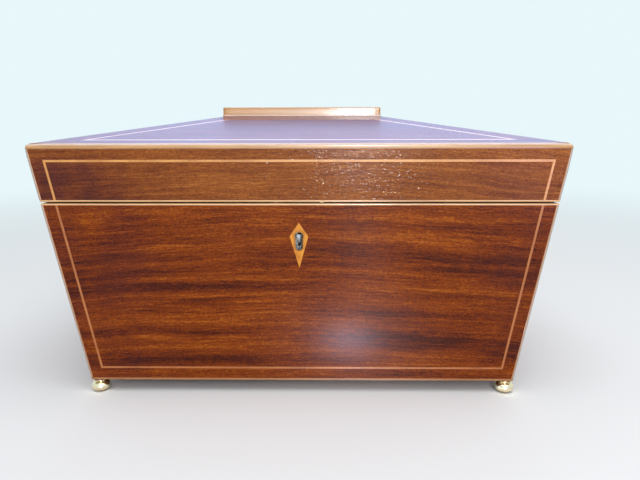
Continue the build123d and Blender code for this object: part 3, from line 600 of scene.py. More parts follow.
def frame_strip(name, half, foot, section, corner_wear, ripple, seed, gaps=(), slopes=(), knocked=0.0):
    """Edging all round a rectangle at a height.

    Each point (inset, height) of the section runs round a rectangle of the half sizes at its
    height less its inset. The corners are quarter circles of the worn radius less the inset. A
    sum of three slow waves along the run sets the face in by the ripple. The run is left out at
    the gaps, pairs of places along X on the back, and closed by its ends there. Its top follows
    the roof's slopes along X and Y, and knocked corners are drawn in to a ball of that radius.
    """
    corner_steps, run_steps, least_bend = 7, 42, 0.00005
    inset, rise = section[:, 0], foot + section[:, 1]
    half_x, half_y = half(rise)
    half_x, half_y = half_x - inset, half_y - inset
    bend = np.maximum(corner_wear - inset, least_bend)
    quarter = np.linspace(0.0, math.pi / 2, corner_steps)[:, None]
    reach = (half_x - bend).min(), (half_y - bend).min()
    plan = []
    for k, (sx, sy) in enumerate(((1, -1), (1, 1), (-1, 1), (-1, -1))):
        angle = quarter + (k - 1) * math.pi / 2
        arc_x = sx * (half_x - bend)[None, :] + bend[None, :] * np.cos(angle)
        arc_y = sy * (half_y - bend)[None, :] + bend[None, :] * np.sin(angle)
        plan.append(np.stack([arc_x, arc_y], axis=-1))
        axis = 1 - k % 2
        stops = np.linspace(-reach[axis], reach[axis], run_steps)[1:-1]
        if k == 1:
            stops = np.sort(np.concatenate([stops, np.ravel(gaps)]))
        if k in (1, 2):
            stops = stops[::-1]
        run = np.empty((len(stops), len(inset), 2))
        run[..., axis] = stops[:, None]
        run[..., 1 - axis] = (sx * half_x if axis == 1 else sy * half_y)[None, :]
        plan.append(run)
    plan = np.concatenate(plan)
    step = np.linalg.norm(np.diff(plan, axis=0, append=plan[:1]), axis=2).mean(axis=1)
    length = np.concatenate([[0.0], np.cumsum(step)[:-1]])
    waves = ((31.0, 1.0), (83.0, 2.3), (171.0, 4.1))
    wave = sum(np.sin(length * rate + seed * shift) for rate, shift in waves)
    outer = np.clip(1.0 - inset / inset.max(), 0.0, 1.0)
    push = ripple * (wave[:, None] / 3.0 - 1.0) * outer[None, :]
    at_x = (np.abs(plan[..., 0]) > half_x[None, :] - bend[None, :] * 0.5) * np.sign(plan[..., 0])
    at_y = (np.abs(plan[..., 1]) > half_y[None, :] - bend[None, :] * 0.5) * np.sign(plan[..., 1])
    plan = plan + np.stack([at_x, at_y], axis=-1) * push[..., None]
    height = np.broadcast_to(rise[None, :], plan.shape[:2])
    if slopes:
        from_edge = [caddy_half_width, caddy_half_depth] - np.abs(plan)
        slope = (slopes * from_edge).min(axis=-1)
        upper_part = section[:, 1] > section[:, 1].max() * 0.6
        height = height + slope * upper_part[None, :]
    points = np.concatenate([plan, height[..., None]], axis=-1)
    if knocked:
        outer = np.stack(np.broadcast_arrays(half_x + inset, half_y + inset, rise.max()), axis=-1)[None]
        depth = knocked - (outer - np.abs(points))
        far = np.linalg.norm(depth, axis=-1, keepdims=True)
        drawn = (depth.min(axis=-1, keepdims=True) > 0.0) & (far > knocked)
        pulled = outer - knocked + depth * knocked / np.maximum(far, 1e-9)
        points = np.where(drawn, pulled * np.where(points < 0, -1.0, 1.0), points)
    uvs = np.stack(np.broadcast_arrays(length[:, None], length_along(section)[None, :]), axis=-1)
    count = len(section)
    faces = grid_faces(len(plan), count, True, True)
    if len(gaps):
        at_back = plan[:, 0, 1] > half_y[0] - bend[0] * 0.5
        middle = (plan[faces[:, 0] // count, 0, 0] + plan[faces[:, 2] // count, 0, 0]) / 2
        inside = np.any([(middle > low) & (middle < high) for low, high in gaps], axis=0)
        faces = faces[~(at_back[faces[:, 0] // count] & inside)]
        to_gap = np.abs(plan[:, 0, :1] - np.ravel(gaps)).min(axis=1)
        ends = np.flatnonzero(at_back & (to_gap < 1e-7))
        faces = faces.tolist() + (ends[:, None] * count + np.arange(count)).tolist()
    return lay_mesh(name, points, faces, uvs)


def corner_strips(name, low, high, width, wear, lip):
    """Edging up the four corners between two heights.

    The section is a square of the given width whose outer corner is worn to a quarter circle, its
    radius going from the first wear to the second in the last ten millimetres. It is carried up
    the leaning corner, swayed by a sine wave of the lip's size, and closed by its two ends.
    """
    worn_length, sway_rate, corner_steps, run_steps = 0.010, 260.0, 7, 60
    turn = np.linspace(0.0, math.pi / 2, corner_steps)
    rise = np.linspace(low, high, run_steps)
    near_top = np.clip((rise - high + worn_length) / worn_length, 0.0, 1.0)
    radius = wear[0] + (wear[1] - wear[0]) * near_top**2
    arc = np.stack([1.0 - np.sin(turn), 1.0 - np.cos(turn)], axis=1) * radius[:, None, None]
    flats = np.broadcast_to([[0.0, width], [width, width], [width, 0.0]], (len(rise), 3, 2))
    section = np.concatenate([arc, flats], axis=1)
    count = section.shape[1]
    drop = wall_lean * (edge_height - rise)[:, None]
    uv = np.stack(np.broadcast_arrays(rise[:, None], length_along(section[0])[None, :]), axis=-1)
    points, faces = [], []
    for sx, sy in ((-1, -1), (-1, 1), (1, -1), (1, 1)):
        sway = lip * (np.sin(rise * sway_rate + 2.0 * sx + sy) - 1.0)[:, None]
        x = sx * (caddy_half_width - drop - section[..., 0] + sway)
        y = sy * (caddy_half_depth - drop - section[..., 1] + sway)
        start = len(points) * len(rise) * count
        last = start + (len(rise) - 1) * count
        points.append(np.stack([x, y, np.broadcast_to(rise[:, None], x.shape)], axis=-1))
        faces += (grid_faces(len(rise), count, False, True) + start).tolist()
        faces += [list(range(start, start + count)), list(range(last, last + count))]
    return lay_mesh(name, np.stack(points), faces, np.stack([uv] * 4))


hinge_clearance = 0.0004
hinge_gaps = [
    (low.x - hinge_clearance, high.x + hinge_clearance)
    for low, high in (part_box("left_hinge_base_leaf"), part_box("right_hinge_base_leaf"))
]
edging_width, parting_gap = 0.0018, 0.0002
sharp, dulled, rounded, corner_wear = 0.00003, 0.0005, 0.0008, 0.0009
unevenness = 0.00003
foot_low, foot_high = (corner.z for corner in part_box("base_foot_edging"))
rim_low, rim_high = (corner.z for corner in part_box("base_rim_edging"))
foot_section = worn_section(edging_width, foot_high - foot_low, (dulled, sharp))
rim_section = worn_section(edging_width, rim_high - rim_low - parting_gap, (sharp, dulled))
finish_piece(
    frame_strip("foot_edging", wall_half, foot_low, foot_section, corner_wear, unevenness, 1.0),
    foot_strip_boxwood, "base", "boxwood", "base_foot_edging",
)
finish_piece(
    corner_strips(
        "base_corner_strips", foot_high, rim_low, edging_width, (rounded, corner_wear), unevenness
    ),
    worn_highlit_boxwood, "base", "boxwood", "base_corner_edging",
)
finish_piece(
    frame_strip("rim_edging", wall_half, rim_low, rim_section, corner_wear, unevenness, 2.0, hinge_gaps),
    strip_boxwood, "base", "boxwood", "base_rim_edging",
)

# Kite round the keyhole. A slip of honey-coloured boxwood with upright grain, let into the
# veneer and pierced for the key, with painted shade in a darker ring round the hole
key_centre = (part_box("lock_drill_pin")[0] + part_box("lock_drill_pin")[1]) / 2
hole_half_length, ring_outside, ring_inside = 0.0036, 0.0040, 0.0024
upright = (0.0, math.pi / 2, 0.0)
kite_boxwood = boxwood(
    "kite_boxwood", turned_grain(upright), ((110.0, 260.0, 260.0), (90.0, 1600.0, 1600.0)),
    (0.710, 0.270, 0.026), (0.470, 0.132, 0.007), coat=0.10, specular=0.15,
)
tree = kite_boxwood.node_tree
spot = split(tree, grain_place(tree))
past_ends = calc(tree, "ABSOLUTE", calc(tree, "SUBTRACT", spot["Z"], key_centre.z - hole_half_length))
past_ends = calc(tree, "MAXIMUM", calc(tree, "SUBTRACT", past_ends, hole_half_length), 0.0)
past_ends = calc(tree, "MULTIPLY", past_ends, past_ends)
from_hole = calc(tree, "SQRT", calc(tree, "MULTIPLY_ADD", spot["X"], spot["X"], past_ends))
# Painted shade: a darker ring round the keyhole
ring = calc(tree, "MULTIPLY", climbs(tree, from_hole, ring_outside, ring_inside), 0.45)
tinted(kite_boxwood, ring, (0.200, 0.095, 0.025))
dress(kite_boxwood, "escutcheon")

# Lock. A steel case let into the back of the front board, under a brass plate that is screwed
# to the rim. Behind the keyhole a steel cover, pierced closer to the key, hides the levers
case_depth = 0.0026
case_face_y = -(caddy_half_depth - wall_lean * (edge_height - key_centre.z)) + case_depth


def old_metal(name, clean, stained, roughness, scratch_scale, stain_scale, stain_from):
    """Cast or rolled metal with fine scratches and soft darker stains."""
    finish, tree = start_finish(name)
    place = grain_place(tree)
    scratch = speckle(tree, place, scratch_scale, 2.0, 0.6)
    stain = speckle(tree, place, stain_scale, 3.0, 0.6)
    mask = add_node(
        tree, "ShaderNodeMapRange", {"Value": stain, "From Min": stain_from, "From Max": stain_from + 0.16}
    )[0]
    rough = calc(tree, "MULTIPLY_ADD", scratch, 0.14, roughness - 0.07)
    plug(shader_of(finish), {
        "Base Color": mix_tones(tree, mask, (*clean, 1.0), (*stained, 1.0)),
        "Roughness": calc(tree, "MULTIPLY_ADD", mask, 0.15, rough),
        "Normal": bump(tree, scratch, 0.25, 0.00004),
        "Metallic": 1.0,
    })
    return finish


lock_steel = old_metal(
    "lock_steel", (0.26, 0.27, 0.28), (0.045, 0.040, 0.038), roughness=0.36,
    scratch_scale=(300.0, 900.0, 2600.0), stain_scale=(420.0, 420.0, 420.0), stain_from=0.46,
)
plate_brass = old_metal(
    "plate_brass", (0.70, 0.52, 0.26), (0.46, 0.31, 0.13), roughness=0.44,
    scratch_scale=(160.0, 1900.0, 700.0), stain_scale=(70.0, 70.0, 70.0), stain_from=0.50,
)
dress(lock_steel, "lock_case", "lock_drill_pin", "lock_bolt")
dress(plate_brass, "lock_plate", "link_plate", "base_screws", "lid_screws", "hinge_pins")
dress(plate_brass, "left_hinge_base_leaf", "right_hinge_base_leaf")
dress(plate_brass, "left_hinge_lid_leaf", "right_hinge_lid_leaf")


def keyhole_edge(round_radius, slot_half, drop, count=64):
    """Outline of a keyhole about its round: a circle above, passing into a slot with a round end."""
    open_half = math.asin(slot_half / round_radius)
    head = np.linspace(-math.pi / 2 + open_half, 3 * math.pi / 2 - open_half, count)
    foot = np.linspace(math.pi, 2 * math.pi, count // 2)
    upper = np.stack([round_radius * np.cos(head), round_radius * np.sin(head)], axis=1)
    lower = np.stack([slot_half * np.cos(foot), -drop + slot_half * np.sin(foot)], axis=1)
    return np.concatenate([upper, lower])


def pierced_cover(name, hole, half_width, above, below, thickness, proud):
    """Thin leaning plate round a hole, standing proud of the lock's case.

    Rays from the hole's middle carry each point of its outline out to a rectangle. The rim has a
    front and a back ring at the hole and at the rectangle, one thickness apart.
    """
    middle = np.array([0.0, -(below - above) / 2])
    ray = hole - middle
    size = np.array([half_width, (above + below) / 2])
    outer = middle + ray / np.max(np.abs(ray) / size, axis=1)[:, None]
    rings = []
    for ring, depth in ((hole, 0.0), (outer, 0.0), (outer, thickness), (hole, thickness)):
        z = key_centre.z + ring[:, 1]
        y = case_face_y - proud + depth + wall_lean * (key_centre.z - z)
        rings.append(np.stack([ring[:, 0], y, z], axis=-1))
    points = np.stack(rings, axis=1)
    return lay_mesh(name, points, grid_faces(len(hole), 4, True, True), smooth=False)


cover_steel = old_metal(
    "cover_steel", (0.15, 0.15, 0.15), (0.012, 0.010, 0.010), roughness=0.36,
    scratch_scale=(1500.0, 1500.0, 1500.0), stain_scale=(1200.0, 1200.0, 1200.0), stain_from=0.42,
)
tree = cover_steel.node_tree
spot = split(tree, grain_place(tree))
# Painted shadow: the dark cover darker still above the key and to its right, where the hole's edges would
# shade it
above_key = climbs(tree, spot["Z"], key_centre.z + 0.0004, key_centre.z + 0.0022)
painted_shadow = calc(tree, "MAXIMUM", above_key, climbs(tree, spot["X"], 0.0006, 0.0018))
tinted(cover_steel, calc(tree, "MULTIPLY", painted_shadow, 0.9), (0.012, 0.010, 0.009))
cover_hole = keyhole_edge(round_radius=0.0019, slot_half=0.0011, drop=0.0064)
finish_piece(
    pierced_cover(
        "keyhole_cover", cover_hole, half_width=0.0034, above=0.0034, below=0.0100,
        thickness=0.00025, proud=0.0003,
    ),
    cover_steel, "base", "steel",
)

# Feet. Squashed brass balls, turned in one with a neck and a collar and screwed up into the
# corners of the bottom board; the polish is worn bright where they bulge and brown in the neck,
# and the bottom of each bun is painted dark brown as painted shade and reflection


def arc_of(centre, radius, start, end, count):
    """Points on a circle arc in the plane of radius and height, its angles in degrees."""
    angle = np.radians(np.linspace(start, end, count))
    return np.stack([centre[0] + radius[0] * np.cos(angle), centre[1] + radius[1] * np.sin(angle)], axis=1)


def closed_rings(name, rings, poles):
    """Skin over a stack of rings of points, closed below and above by a fan to a pole."""
    count, around = rings.shape[:2]
    ring = np.arange(around)
    after = (ring + 1) % around
    below, above = np.full(around, count * around), np.full(around, count * around + 1)
    top = (count - 1) * around
    faces = grid_faces(count, around, False, True).tolist()
    faces += np.stack([below, after, ring], axis=1).tolist()
    faces += np.stack([above, ring + top, after + top], axis=1).tolist()
    return lay_mesh(name, np.concatenate([rings.reshape(-1, 3), poles]), faces)


def turned(name, profile, centre, count=96):
    """Closed turned piece about an upright axis.

    The profile's (radius, height) pairs run from the axis below to the axis above. Each pair but
    the two ends makes the ring (x + r cos a, y + r sin a, z), and the ends close it at the axis.
    """
    angle = np.linspace(0.0, 2.0 * math.pi, count, endpoint=False)
    radius, height = profile[1:-1, :1], profile[1:-1, 1:]
    x, y = centre[0] + radius * np.cos(angle), centre[1] + radius * np.sin(angle)
    rings = np.stack([x, y, np.broadcast_to(height, x.shape)], axis=-1)
    return closed_rings(name, rings, [[*centre, profile[0, 1]], [*centre, profile[-1, 1]]])


def middle_of(node):
    """Middle of a CAD node's box in plan."""
    low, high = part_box(node)
    return (low.x + high.x) / 2, (low.y + high.y) / 2


foot_brass = old_metal(
    "foot_brass", (0.90, 0.78, 0.54), (0.52, 0.37, 0.18), roughness=0.15,
    scratch_scale=(60.0, 60.0, 3200.0), stain_scale=(160.0, 160.0, 420.0), stain_from=0.56,
)
tree = foot_brass.node_tree
height = split(tree, grain_place(tree))["Z"]
# Painted shade and reflection: dark brown at the bottom of the bun. Browner from the neck up
for low, high, share, colour in (
    (0.0028, 0.0008, 0.85, (0.20, 0.11, 0.040)),
    (0.0062, 0.0074, 0.60, (0.30, 0.19, 0.080)),
):
    tinted(foot_brass, calc(tree, "MULTIPLY", climbs(tree, height, low, high), share), colour)
foot_profile = np.concatenate([
    [[0.0, 0.0], [0.0030, 0.0]],
    arc_of((0.0030, 0.0033), (0.0033, 0.0033), -84.0, 76.0, 40),
    arc_of((0.0042, 0.0072), (0.0008, 0.0005), 210.0, 150.0, 8),
    arc_of((0.0040, 0.0080), (0.0006, 0.0005), -60.0, 80.0, 9),
    [[0.0039, 0.0086], [0.0039, foot_low], [0.0, foot_low]],
])
for corner in ("front_left", "front_right", "back_left", "back_right"):
    foot = turned(f"turned_foot_{corner}", foot_profile, middle_of(f"foot_{corner}"))
    finish_piece(foot, foot_brass, "base", "brass", f"foot_{corner}")

# Tea wells' lids. Six millimetre mahogany panels that drop on to the wells, each with a boxwood
# line let in near its edges and a turned ebony knob in the middle
flat_along_y = (-math.pi / 2, -math.pi / 2, 0.0)
panel_wood = board_wood(
    "panel_mahogany", flat_along_y, (0.085, 0.022, 0.010), (0.210, 0.062, 0.022),
    coat=0.5, coat_roughness=0.18,
)
dress(panel_wood, "left_tea_lid", "right_tea_lid", "bowl_deck")


def let_in_line(name, outer, inner, low, high):
    """Flat line between two closed outlines of as many points, from one height to another."""
    rings = [
        np.concatenate([ring, np.full((len(ring), 1), z)], axis=1)
        for ring, z in ((outer, low), (outer, high), (inner, high), (inner, low))
    ]
    return lay_mesh(name, np.stack(rings, axis=1), grid_faces(len(outer), 4, True, True), smooth=False)


def box_outline(low, high, inset):
    """Four corners of a rectangle in plan, set in all round."""
    low_x, high_x, low_y, high_y = low.x + inset, high.x - inset, low.y + inset, high.y - inset
    return np.array([[low_x, low_y], [high_x, low_y], [high_x, high_y], [low_x, high_y]])


line_inset, line_width, line_depth, line_proud = 0.0050, 0.0011, 0.0004, 0.00004
knob_profile = np.concatenate([
    [[0.0, -0.0005], [0.0048, -0.0005], [0.0048, 0.0]],
    arc_of((0.0044, 0.0006), (0.0006, 0.0006), -60.0, 90.0, 8),
    arc_of((0.0040, 0.0032), (0.0018, 0.0020), 270.0, 180.0, 12),
    arc_of((0.0020, 0.0040), (0.0006, 0.0004), -60.0, 60.0, 6),
    arc_of((0.0, 0.0079), (0.0052, 0.0040), -64.0, 62.0, 26),
    arc_of((0.0, 0.0118), (0.0015, 0.0012), 10.0, 90.0, 8),
])
knob_ebony, tree = start_finish("knob_ebony")
streak = speckle(tree, grain_place(tree), (300.0, 300.0, 1400.0), 3.0)
ebony_tones = [(0.35, (0.010, 0.008, 0.007)), (0.7, (0.045, 0.030, 0.022))]
plug(shader_of(knob_ebony), {
    "Base Color": blend_tones(tree, streak, ebony_tones),
    "Roughness": calc(tree, "MULTIPLY_ADD", streak, 0.15, 0.2),
    "Coat Weight": 0.6,
    "Coat Roughness": 0.1,
})
for hand in ("left", "right"):
    body = f"{hand}_tea_lid"
    low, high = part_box(body)
    outer, inner = box_outline(low, high, line_inset), box_outline(low, high, line_inset + line_width)
    finish_piece(
        let_in_line(f"{hand}_tea_lid_line", outer, inner, high.z - line_depth, high.z + line_proud),
        line_boxwood, body, "boxwood",
    )
    lifted = knob_profile + np.array([0.0, high.z])
    finish_piece(
        turned(f"{hand}_turned_knob", lifted, middle_of(f"{hand}_tea_lid_knob"), 64),
        knob_ebony, body, "ebony", f"{hand}_tea_lid_knob",
    )

# Bowl's deck. A panel between the two partitions with a round hole for the sugar bowl, whose
# edge is lined with a bent strip of boxwood
hole_radius, ring_width, ring_depth, ring_lap = 0.0480, 0.0016, 0.003, 0.00005
angle = np.linspace(0.0, 2 * math.pi, 128, endpoint=False)
circle = np.stack([np.cos(angle), np.sin(angle)], axis=1)
deck_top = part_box("bowl_deck")[1].z
finish_piece(
    let_in_line(
        "bowl_hole_line", circle * (hole_radius + ring_width), circle * (hole_radius - ring_lap),
        deck_top - ring_depth, deck_top + line_proud,
    ),
    line_boxwood, "base", "boxwood",
)

# Sugar bowl. Thick clear glass, blown and wheel cut: upright flutes round the foot of the bowl,
# a band of crossed mitre cuts above them and a star under the foot
bowl_low, bowl_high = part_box("glass_bowl")
bowl_reach = bowl_high.x


def soft_step(value, low, high):
    """Smooth step of an array from 0 at one place to 1 at another."""
    t = np.clip((value - low) / (high - low), 0, 1)
    return t * t * (3 - 2 * t)


def mitre_cut(phase):
    """Depth from 0 to 1 of V grooves, one in each half turn of the phase."""
    t = np.abs((phase / math.pi) % 1.0 - 0.5) * 2
    return np.clip(1 - (1 - t) * 2.6, 0, 1)


def faded(depth, height, start, end):
    """Depth of a cut that deepens between two heights and runs out between two more."""
    return depth * soft_step(height, *start) * (1 - soft_step(height, *end))


def cut_bowl(name, rows_round=52, rows_up=52, rows_in=48, columns=288):
    """Cut glass bowl as one closed skin.

    The outside radius is the plain profile less the cuts: below, sixteen flutes whose depth is
    one less |cos(8 a)|; in the band, the deeper of two crossed sets of V grooves made from
    triangle waves of (angle +- height), between two thin lines. Under the foot, V grooves make a
    star. The inside is plain, and the skin runs from pole to pole.
    """
    h = bowl_high.z - bowl_low.z
    foot_r, waist_z, wall = 0.024, 0.006, 0.003
    belly_r, belly_z = bowl_reach - 0.0015, h / 2
    spread = math.radians(24.2)
    waist = np.array([foot_r - wall, waist_z])
    chord = np.array([belly_r, belly_z]) - waist
    normal = np.array([-math.sin(spread), math.cos(spread)])
    radius = chord @ chord / (2 * chord @ normal)
    centre = waist + radius * normal
    start = math.atan2(*(waist - centre)[::-1])
    end = math.atan2(belly_z - centre[1], belly_r - centre[0])
    sweep = np.linspace(start, end, rows_round)
    arc = centre + radius * np.stack([np.cos(sweep), np.sin(sweep)], axis=1)
    upper = np.linspace([belly_r, belly_z], [bowl_reach, h - 0.0008], rows_up)
    foot = np.array([
        [0.004, 0.0], [0.010, 0.0], [0.016, 0.0], [0.0232, 0.0], [foot_r, 0.0008], [foot_r, wall - 0.0005]
    ])
    outside = np.concatenate([foot, arc, upper[1:]])
    rim = arc_of((bowl_reach - 0.0012, h - 0.0012), (0.0012, 0.0012), 0.0, 180.0, 10)
    inner_r = belly_r - wall
    bottom = waist_z + wall
    bow = (inner_r**2 + (belly_z - bottom) ** 2) / (2 * (belly_z - bottom))
    fall = np.linspace(math.asin(inner_r / bow), 0.02, rows_in)
    within = np.stack([bow * np.sin(fall), bottom + bow * (1 - np.cos(fall))], axis=1)
    side = np.linspace(0, 1, 12)[:, None]
    inside_top = np.array([bowl_reach - 0.0024, h - 0.0014])
    inside = np.concatenate([inside_top * (1 - side) + np.array([inner_r, belly_z]) * side, within[1:]])
    profile = np.concatenate([outside, rim, inside])
    angle = np.linspace(0.0, 2 * math.pi, columns, endpoint=False)[None, :]
    r, z = profile[:, :1], profile[:, 1:]
    row = np.arange(len(profile))[:, None]
    flute_depth, cross_depth, line_depth, star_depth = 0.0011, 0.0010, 0.0007, 0.0008
    cross_half_height, line_half_width, line_heights = 0.0072, 0.0006, (0.0322, 0.0652)
    flute = faded(flute_depth * (1 - np.abs(np.cos(8 * angle))), z, (0.0068, 0.0090), (0.026, 0.031))
    climb = z / cross_half_height * (math.pi / 2)
    cross = np.maximum(mitre_cut(16 * angle + climb), mitre_cut(16 * angle - climb))
    band = faded(cross_depth * cross, z, (0.0335, 0.0350), (0.062, 0.0635))
    rings = line_depth * sum(np.exp(-(((z - at) / line_half_width) ** 2)) for at in line_heights)
    star = star_depth * mitre_cut(8 * angle) * (row < 3)
    radial = r - (flute + band + rings) * (row < len(outside))
    height = np.broadcast_to(z + star, radial.shape)
    points = np.stack([radial * np.cos(angle), radial * np.sin(angle), height + bowl_low.z], axis=-1)
    return closed_rings(name, points, [[0, 0, bowl_low.z + 0.0004], [0, 0, bowl_low.z + bottom]])


bowl_glass, tree = start_finish("bowl_glass")
ripple = speckle(tree, grain_place(tree), (55.0, 55.0, 90.0), 1.0)
glass_tones = [(0.3, (0.93, 0.965, 0.955)), (0.7, (0.97, 0.985, 0.98))]
plug(shader_of(bowl_glass), {
    "Base Color": blend_tones(tree, ripple, glass_tones),
    "Roughness": calc(tree, "MULTIPLY_ADD", ripple, 0.02, 0.01),
    "Normal": bump(tree, ripple, 0.1, 0.0004),
    "Transmission Weight": 1.0,
    "IOR": 1.52,
})
finish_piece(cut_bowl("cut_glass_bowl"), bowl_glass, "glass_bowl", "glass", "glass_bowl")

# Velvet. A round pad under the bowl and a panel in the lid, both silk velvet drawn over thin
# wadding and glued down round the edge, so that they swell a little and crease near it


def silk_velvet(name):
    """Crimson velvet: a fine pile that catches light at its edges, crushed here and there."""
    finish, tree = start_finish(name)
    place = grain_place(tree)
    crushed = speckle(tree, place, (45.0, 45.0, 45.0), 3.0, 0.6)
    pile = speckle(tree, place, (3200.0, 3200.0, 3200.0), 1.0)
    tone = calc(tree, "MULTIPLY_ADD", crushed, 0.8, calc(tree, "MULTIPLY", pile, 0.2))
    tones = [(0.30, (0.085, 0.006, 0.012)), (0.55, (0.170, 0.013, 0.024)), (0.78, (0.260, 0.026, 0.040))]
    plug(shader_of(finish), {
        "Base Color": blend_tones(tree, tone, tones),
        "Roughness": calc(tree, "MULTIPLY_ADD", crushed, 0.2, 0.75),
        "Normal": bump(tree, tone, 0.5, 0.0003),
        "Sheen Weight": 0.8,
        "Sheen Roughness": 0.35,
        "Sheen Tint": (0.75, 0.20, 0.24, 1.0),
        "Specular IOR Level": 0.1,
    })
    return finish


def drawn_over(made, held, most, frames=18):
    """Lets the cloth of a thin pad swell under a light pressure while the held points stay, then
    keeps the shape, no point further than the given distance from where it lay."""
    rest = np.zeros(len(made.data.vertices) * 3)
    made.data.vertices.foreach_get("co", rest)
    rest = rest.reshape(-1, 3)
    group = made.vertex_groups.new(name="held")
    group.add(np.flatnonzero(held).tolist(), 1.0, "REPLACE")
    cloth = made.modifiers.new("velvet", "CLOTH")
    cloth.settings.quality = 6
    cloth.settings.mass = 0.1
    cloth.settings.vertex_group_mass = "held"
    cloth.settings.effector_weights.gravity = 0.0
    cloth.settings.use_pressure = True
    cloth.settings.uniform_pressure_force = 2.5
    cloth.settings.tension_stiffness = 12.0
    cloth.settings.compression_stiffness = 12.0
    cloth.settings.bending_stiffness = 0.05
    cloth.settings.shrink_min = -0.012
    cloth.point_cache.frame_end = frames + 2
    for step in range(1, frames + 1):
        bpy.context.scene.frame_set(step)
    seen = made.evaluated_get(bpy.context.evaluated_depsgraph_get())
    moved = np.zeros(len(seen.data.vertices) * 3)
    seen.data.vertices.foreach_get("co", moved)
    made.modifiers.remove(cloth)
    bpy.context.scene.frame_set(1)
    shift = moved.reshape(-1, 3) - rest
    far = np.linalg.norm(shift, axis=1)
    shift *= np.minimum(1.0, most / np.maximum(far, 1e-9))[:, None]
    made.data.vertices.foreach_set("co", (rest + shift).ravel())
    made.data.update()


def thin_pad(name, plan, glued_z, face_z, margin):
    """Closed pad over a grid of places in plan.

    The back is flat. The face is level and falls to the back at the edge, as the square root of
    the distance over the margin. Both share the edge.
    """
    rows, columns = plan.shape[:2]
    thickness = (face_z - glued_z) * np.sqrt(np.clip(margin, 0.0, 1.0))
    face = np.concatenate([plan, (glued_z + thickness)[..., None]], axis=-1)
    back = np.concatenate([plan, np.full((rows, columns, 1), glued_z)], axis=-1)
    squares = grid_faces(rows, columns)
    edge = np.concatenate([
        np.arange(columns), np.arange(1, rows) * columns + columns - 1,
        (rows - 1) * columns + np.arange(columns - 2, -1, -1), np.arange(rows - 2, 0, -1) * columns,
    ])
    after = np.roll(edge, -1)
    count = rows * columns
    rim = np.stack([edge, after, after + count, edge + count], axis=1)
    faces = np.concatenate([squares, squares + count, rim])
    return lay_mesh(name, np.concatenate([face.reshape(-1, 3), back.reshape(-1, 3)]), faces)


velvet = silk_velvet("crimson_velvet")
low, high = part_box("lid_lining")
sunk, back_gap, turned_in, glued_edge, most_swell = 0.0004, 0.0001, 0.006, 0.0025, 0.0016
half = np.array([high.x, high.y]) - sunk
count_x, count_y = 150, 84
u, v = np.meshgrid(np.linspace(-1, 1, count_x), np.linspace(-1, 1, count_y))
plan = np.stack([u * half[0], v * half[1]], axis=-1)
from_edge = np.minimum((1 - np.abs(u)) * half[0], (1 - np.abs(v)) * half[1])
lining = thin_pad("lid_velvet_panel", plan, high.z - back_gap, low.z + sunk, from_edge / turned_in)
held = np.ones(len(lining.data.vertices), bool)
held[: count_x * count_y] = (from_edge < glued_edge).ravel()
drawn_over(lining, held, most_swell)
lining.modifiers.new("soft", "SUBSURF").levels = 1
lining.modifiers["soft"].render_levels = 1
finish_piece(lining, velvet, "lid", "velvet", "lid_lining")

pad_low, pad_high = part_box("bowl_pad")
pad_radius, pad_sunk, pad_turned_in, pad_count = pad_high.x, 0.0003, 0.004, 72
u, v = np.meshgrid(np.linspace(-1, 1, pad_count), np.linspace(-1, 1, pad_count))
stretch_u, stretch_v = u * np.sqrt(1 - v**2 / 2), v * np.sqrt(1 - u**2 / 2)
plan = np.stack([stretch_u, stretch_v], axis=-1) * pad_radius
from_edge = pad_radius - np.hypot(plan[..., 0], plan[..., 1])
pad = thin_pad("bowl_velvet_pad", plan, pad_low.z, pad_high.z - pad_sunk, from_edge / pad_turned_in)
finish_piece(pad, velvet, "base", "velvet", "bowl_pad")

# Lid's edging. As round the base: a strip round the rim, one up each corner, and a wider one
# along the eaves, which hands have worn round
roof_rise_y = math.tan(math.radians(12.6))
roof_rise_x = math.tan(math.radians(8.3))
rim_low, rim_high = (corner.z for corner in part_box("lid_rim_edging"))
top_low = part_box("lid_top_edging")[0].z
eaves_width, eaves_corner, eaves_wear = 0.0027, 0.0019, 0.0009
eaves_knock, eaves_unevenness, corner_top_wear = 0.0024, 0.00004, 0.00178
rim_section = worn_section(edging_width, rim_high - rim_low, (rounded, sharp))
eaves_section = worn_section(eaves_width, edge_height - top_low, (sharp, eaves_wear), 7)
finish_piece(
    frame_strip("lid_rim_strip", wall_half, rim_low, rim_section, corner_wear, unevenness, 3.0, hinge_gaps),
    strip_boxwood, "lid", "boxwood", "lid_rim_edging",
)
finish_piece(
    corner_strips(
        "lid_corner_strips", rim_high, top_low, edging_width, (corner_wear, corner_top_wear), unevenness
    ),
    worn_highlit_boxwood, "lid", "boxwood", "lid_corner_edging",
)
eaves_boxwood = boxwood(
    "eaves_boxwood", strip_place, ((22.0, 300.0, 1.0), (60.0, 3200.0, 1.0)),
    (0.600, 0.330, 0.130), (0.440, 0.210, 0.074),
)
# A pale line on the rounded top arris is a painted highlight; a darker line runs along the lower arris
arris_tone_and_highlight(eaves_boxwood, 0.0051, 0.0066, (0.640, 0.480, 0.400), 0.90)
arris_tone_and_highlight(eaves_boxwood, 0.0026, 0.0031, (0.300, 0.130, 0.055), 0.8)
finish_piece(
    frame_strip(
        "eaves_strip", wall_half, top_low, eaves_section, eaves_corner, eaves_unevenness, 4.0,
        slopes=(roof_rise_x, roof_rise_y), knocked=eaves_knock,
    ),
    eaves_boxwood, "lid", "boxwood", "lid_top_edging",
)

# Roof. Four slopes of veneer mitred on the hips, with stringing near their edges, laid on a
# solid board. It has the thickest polish, under a faint bloom that shows at a flat angle
roof_figure = [
    (-0.094, 0.10), (-0.070, 0.00), (-0.045, 0.20), (-0.02, 0.05), (0.02, 0.15), (0.05, 0.0), (0.094, 0.12)
]
# The roof takes the walls' tones painted darker: painted shade on slopes that face the light
shaded_roof_tones = [(position, [0.72 * part for part in colour]) for position, colour in base_tones]


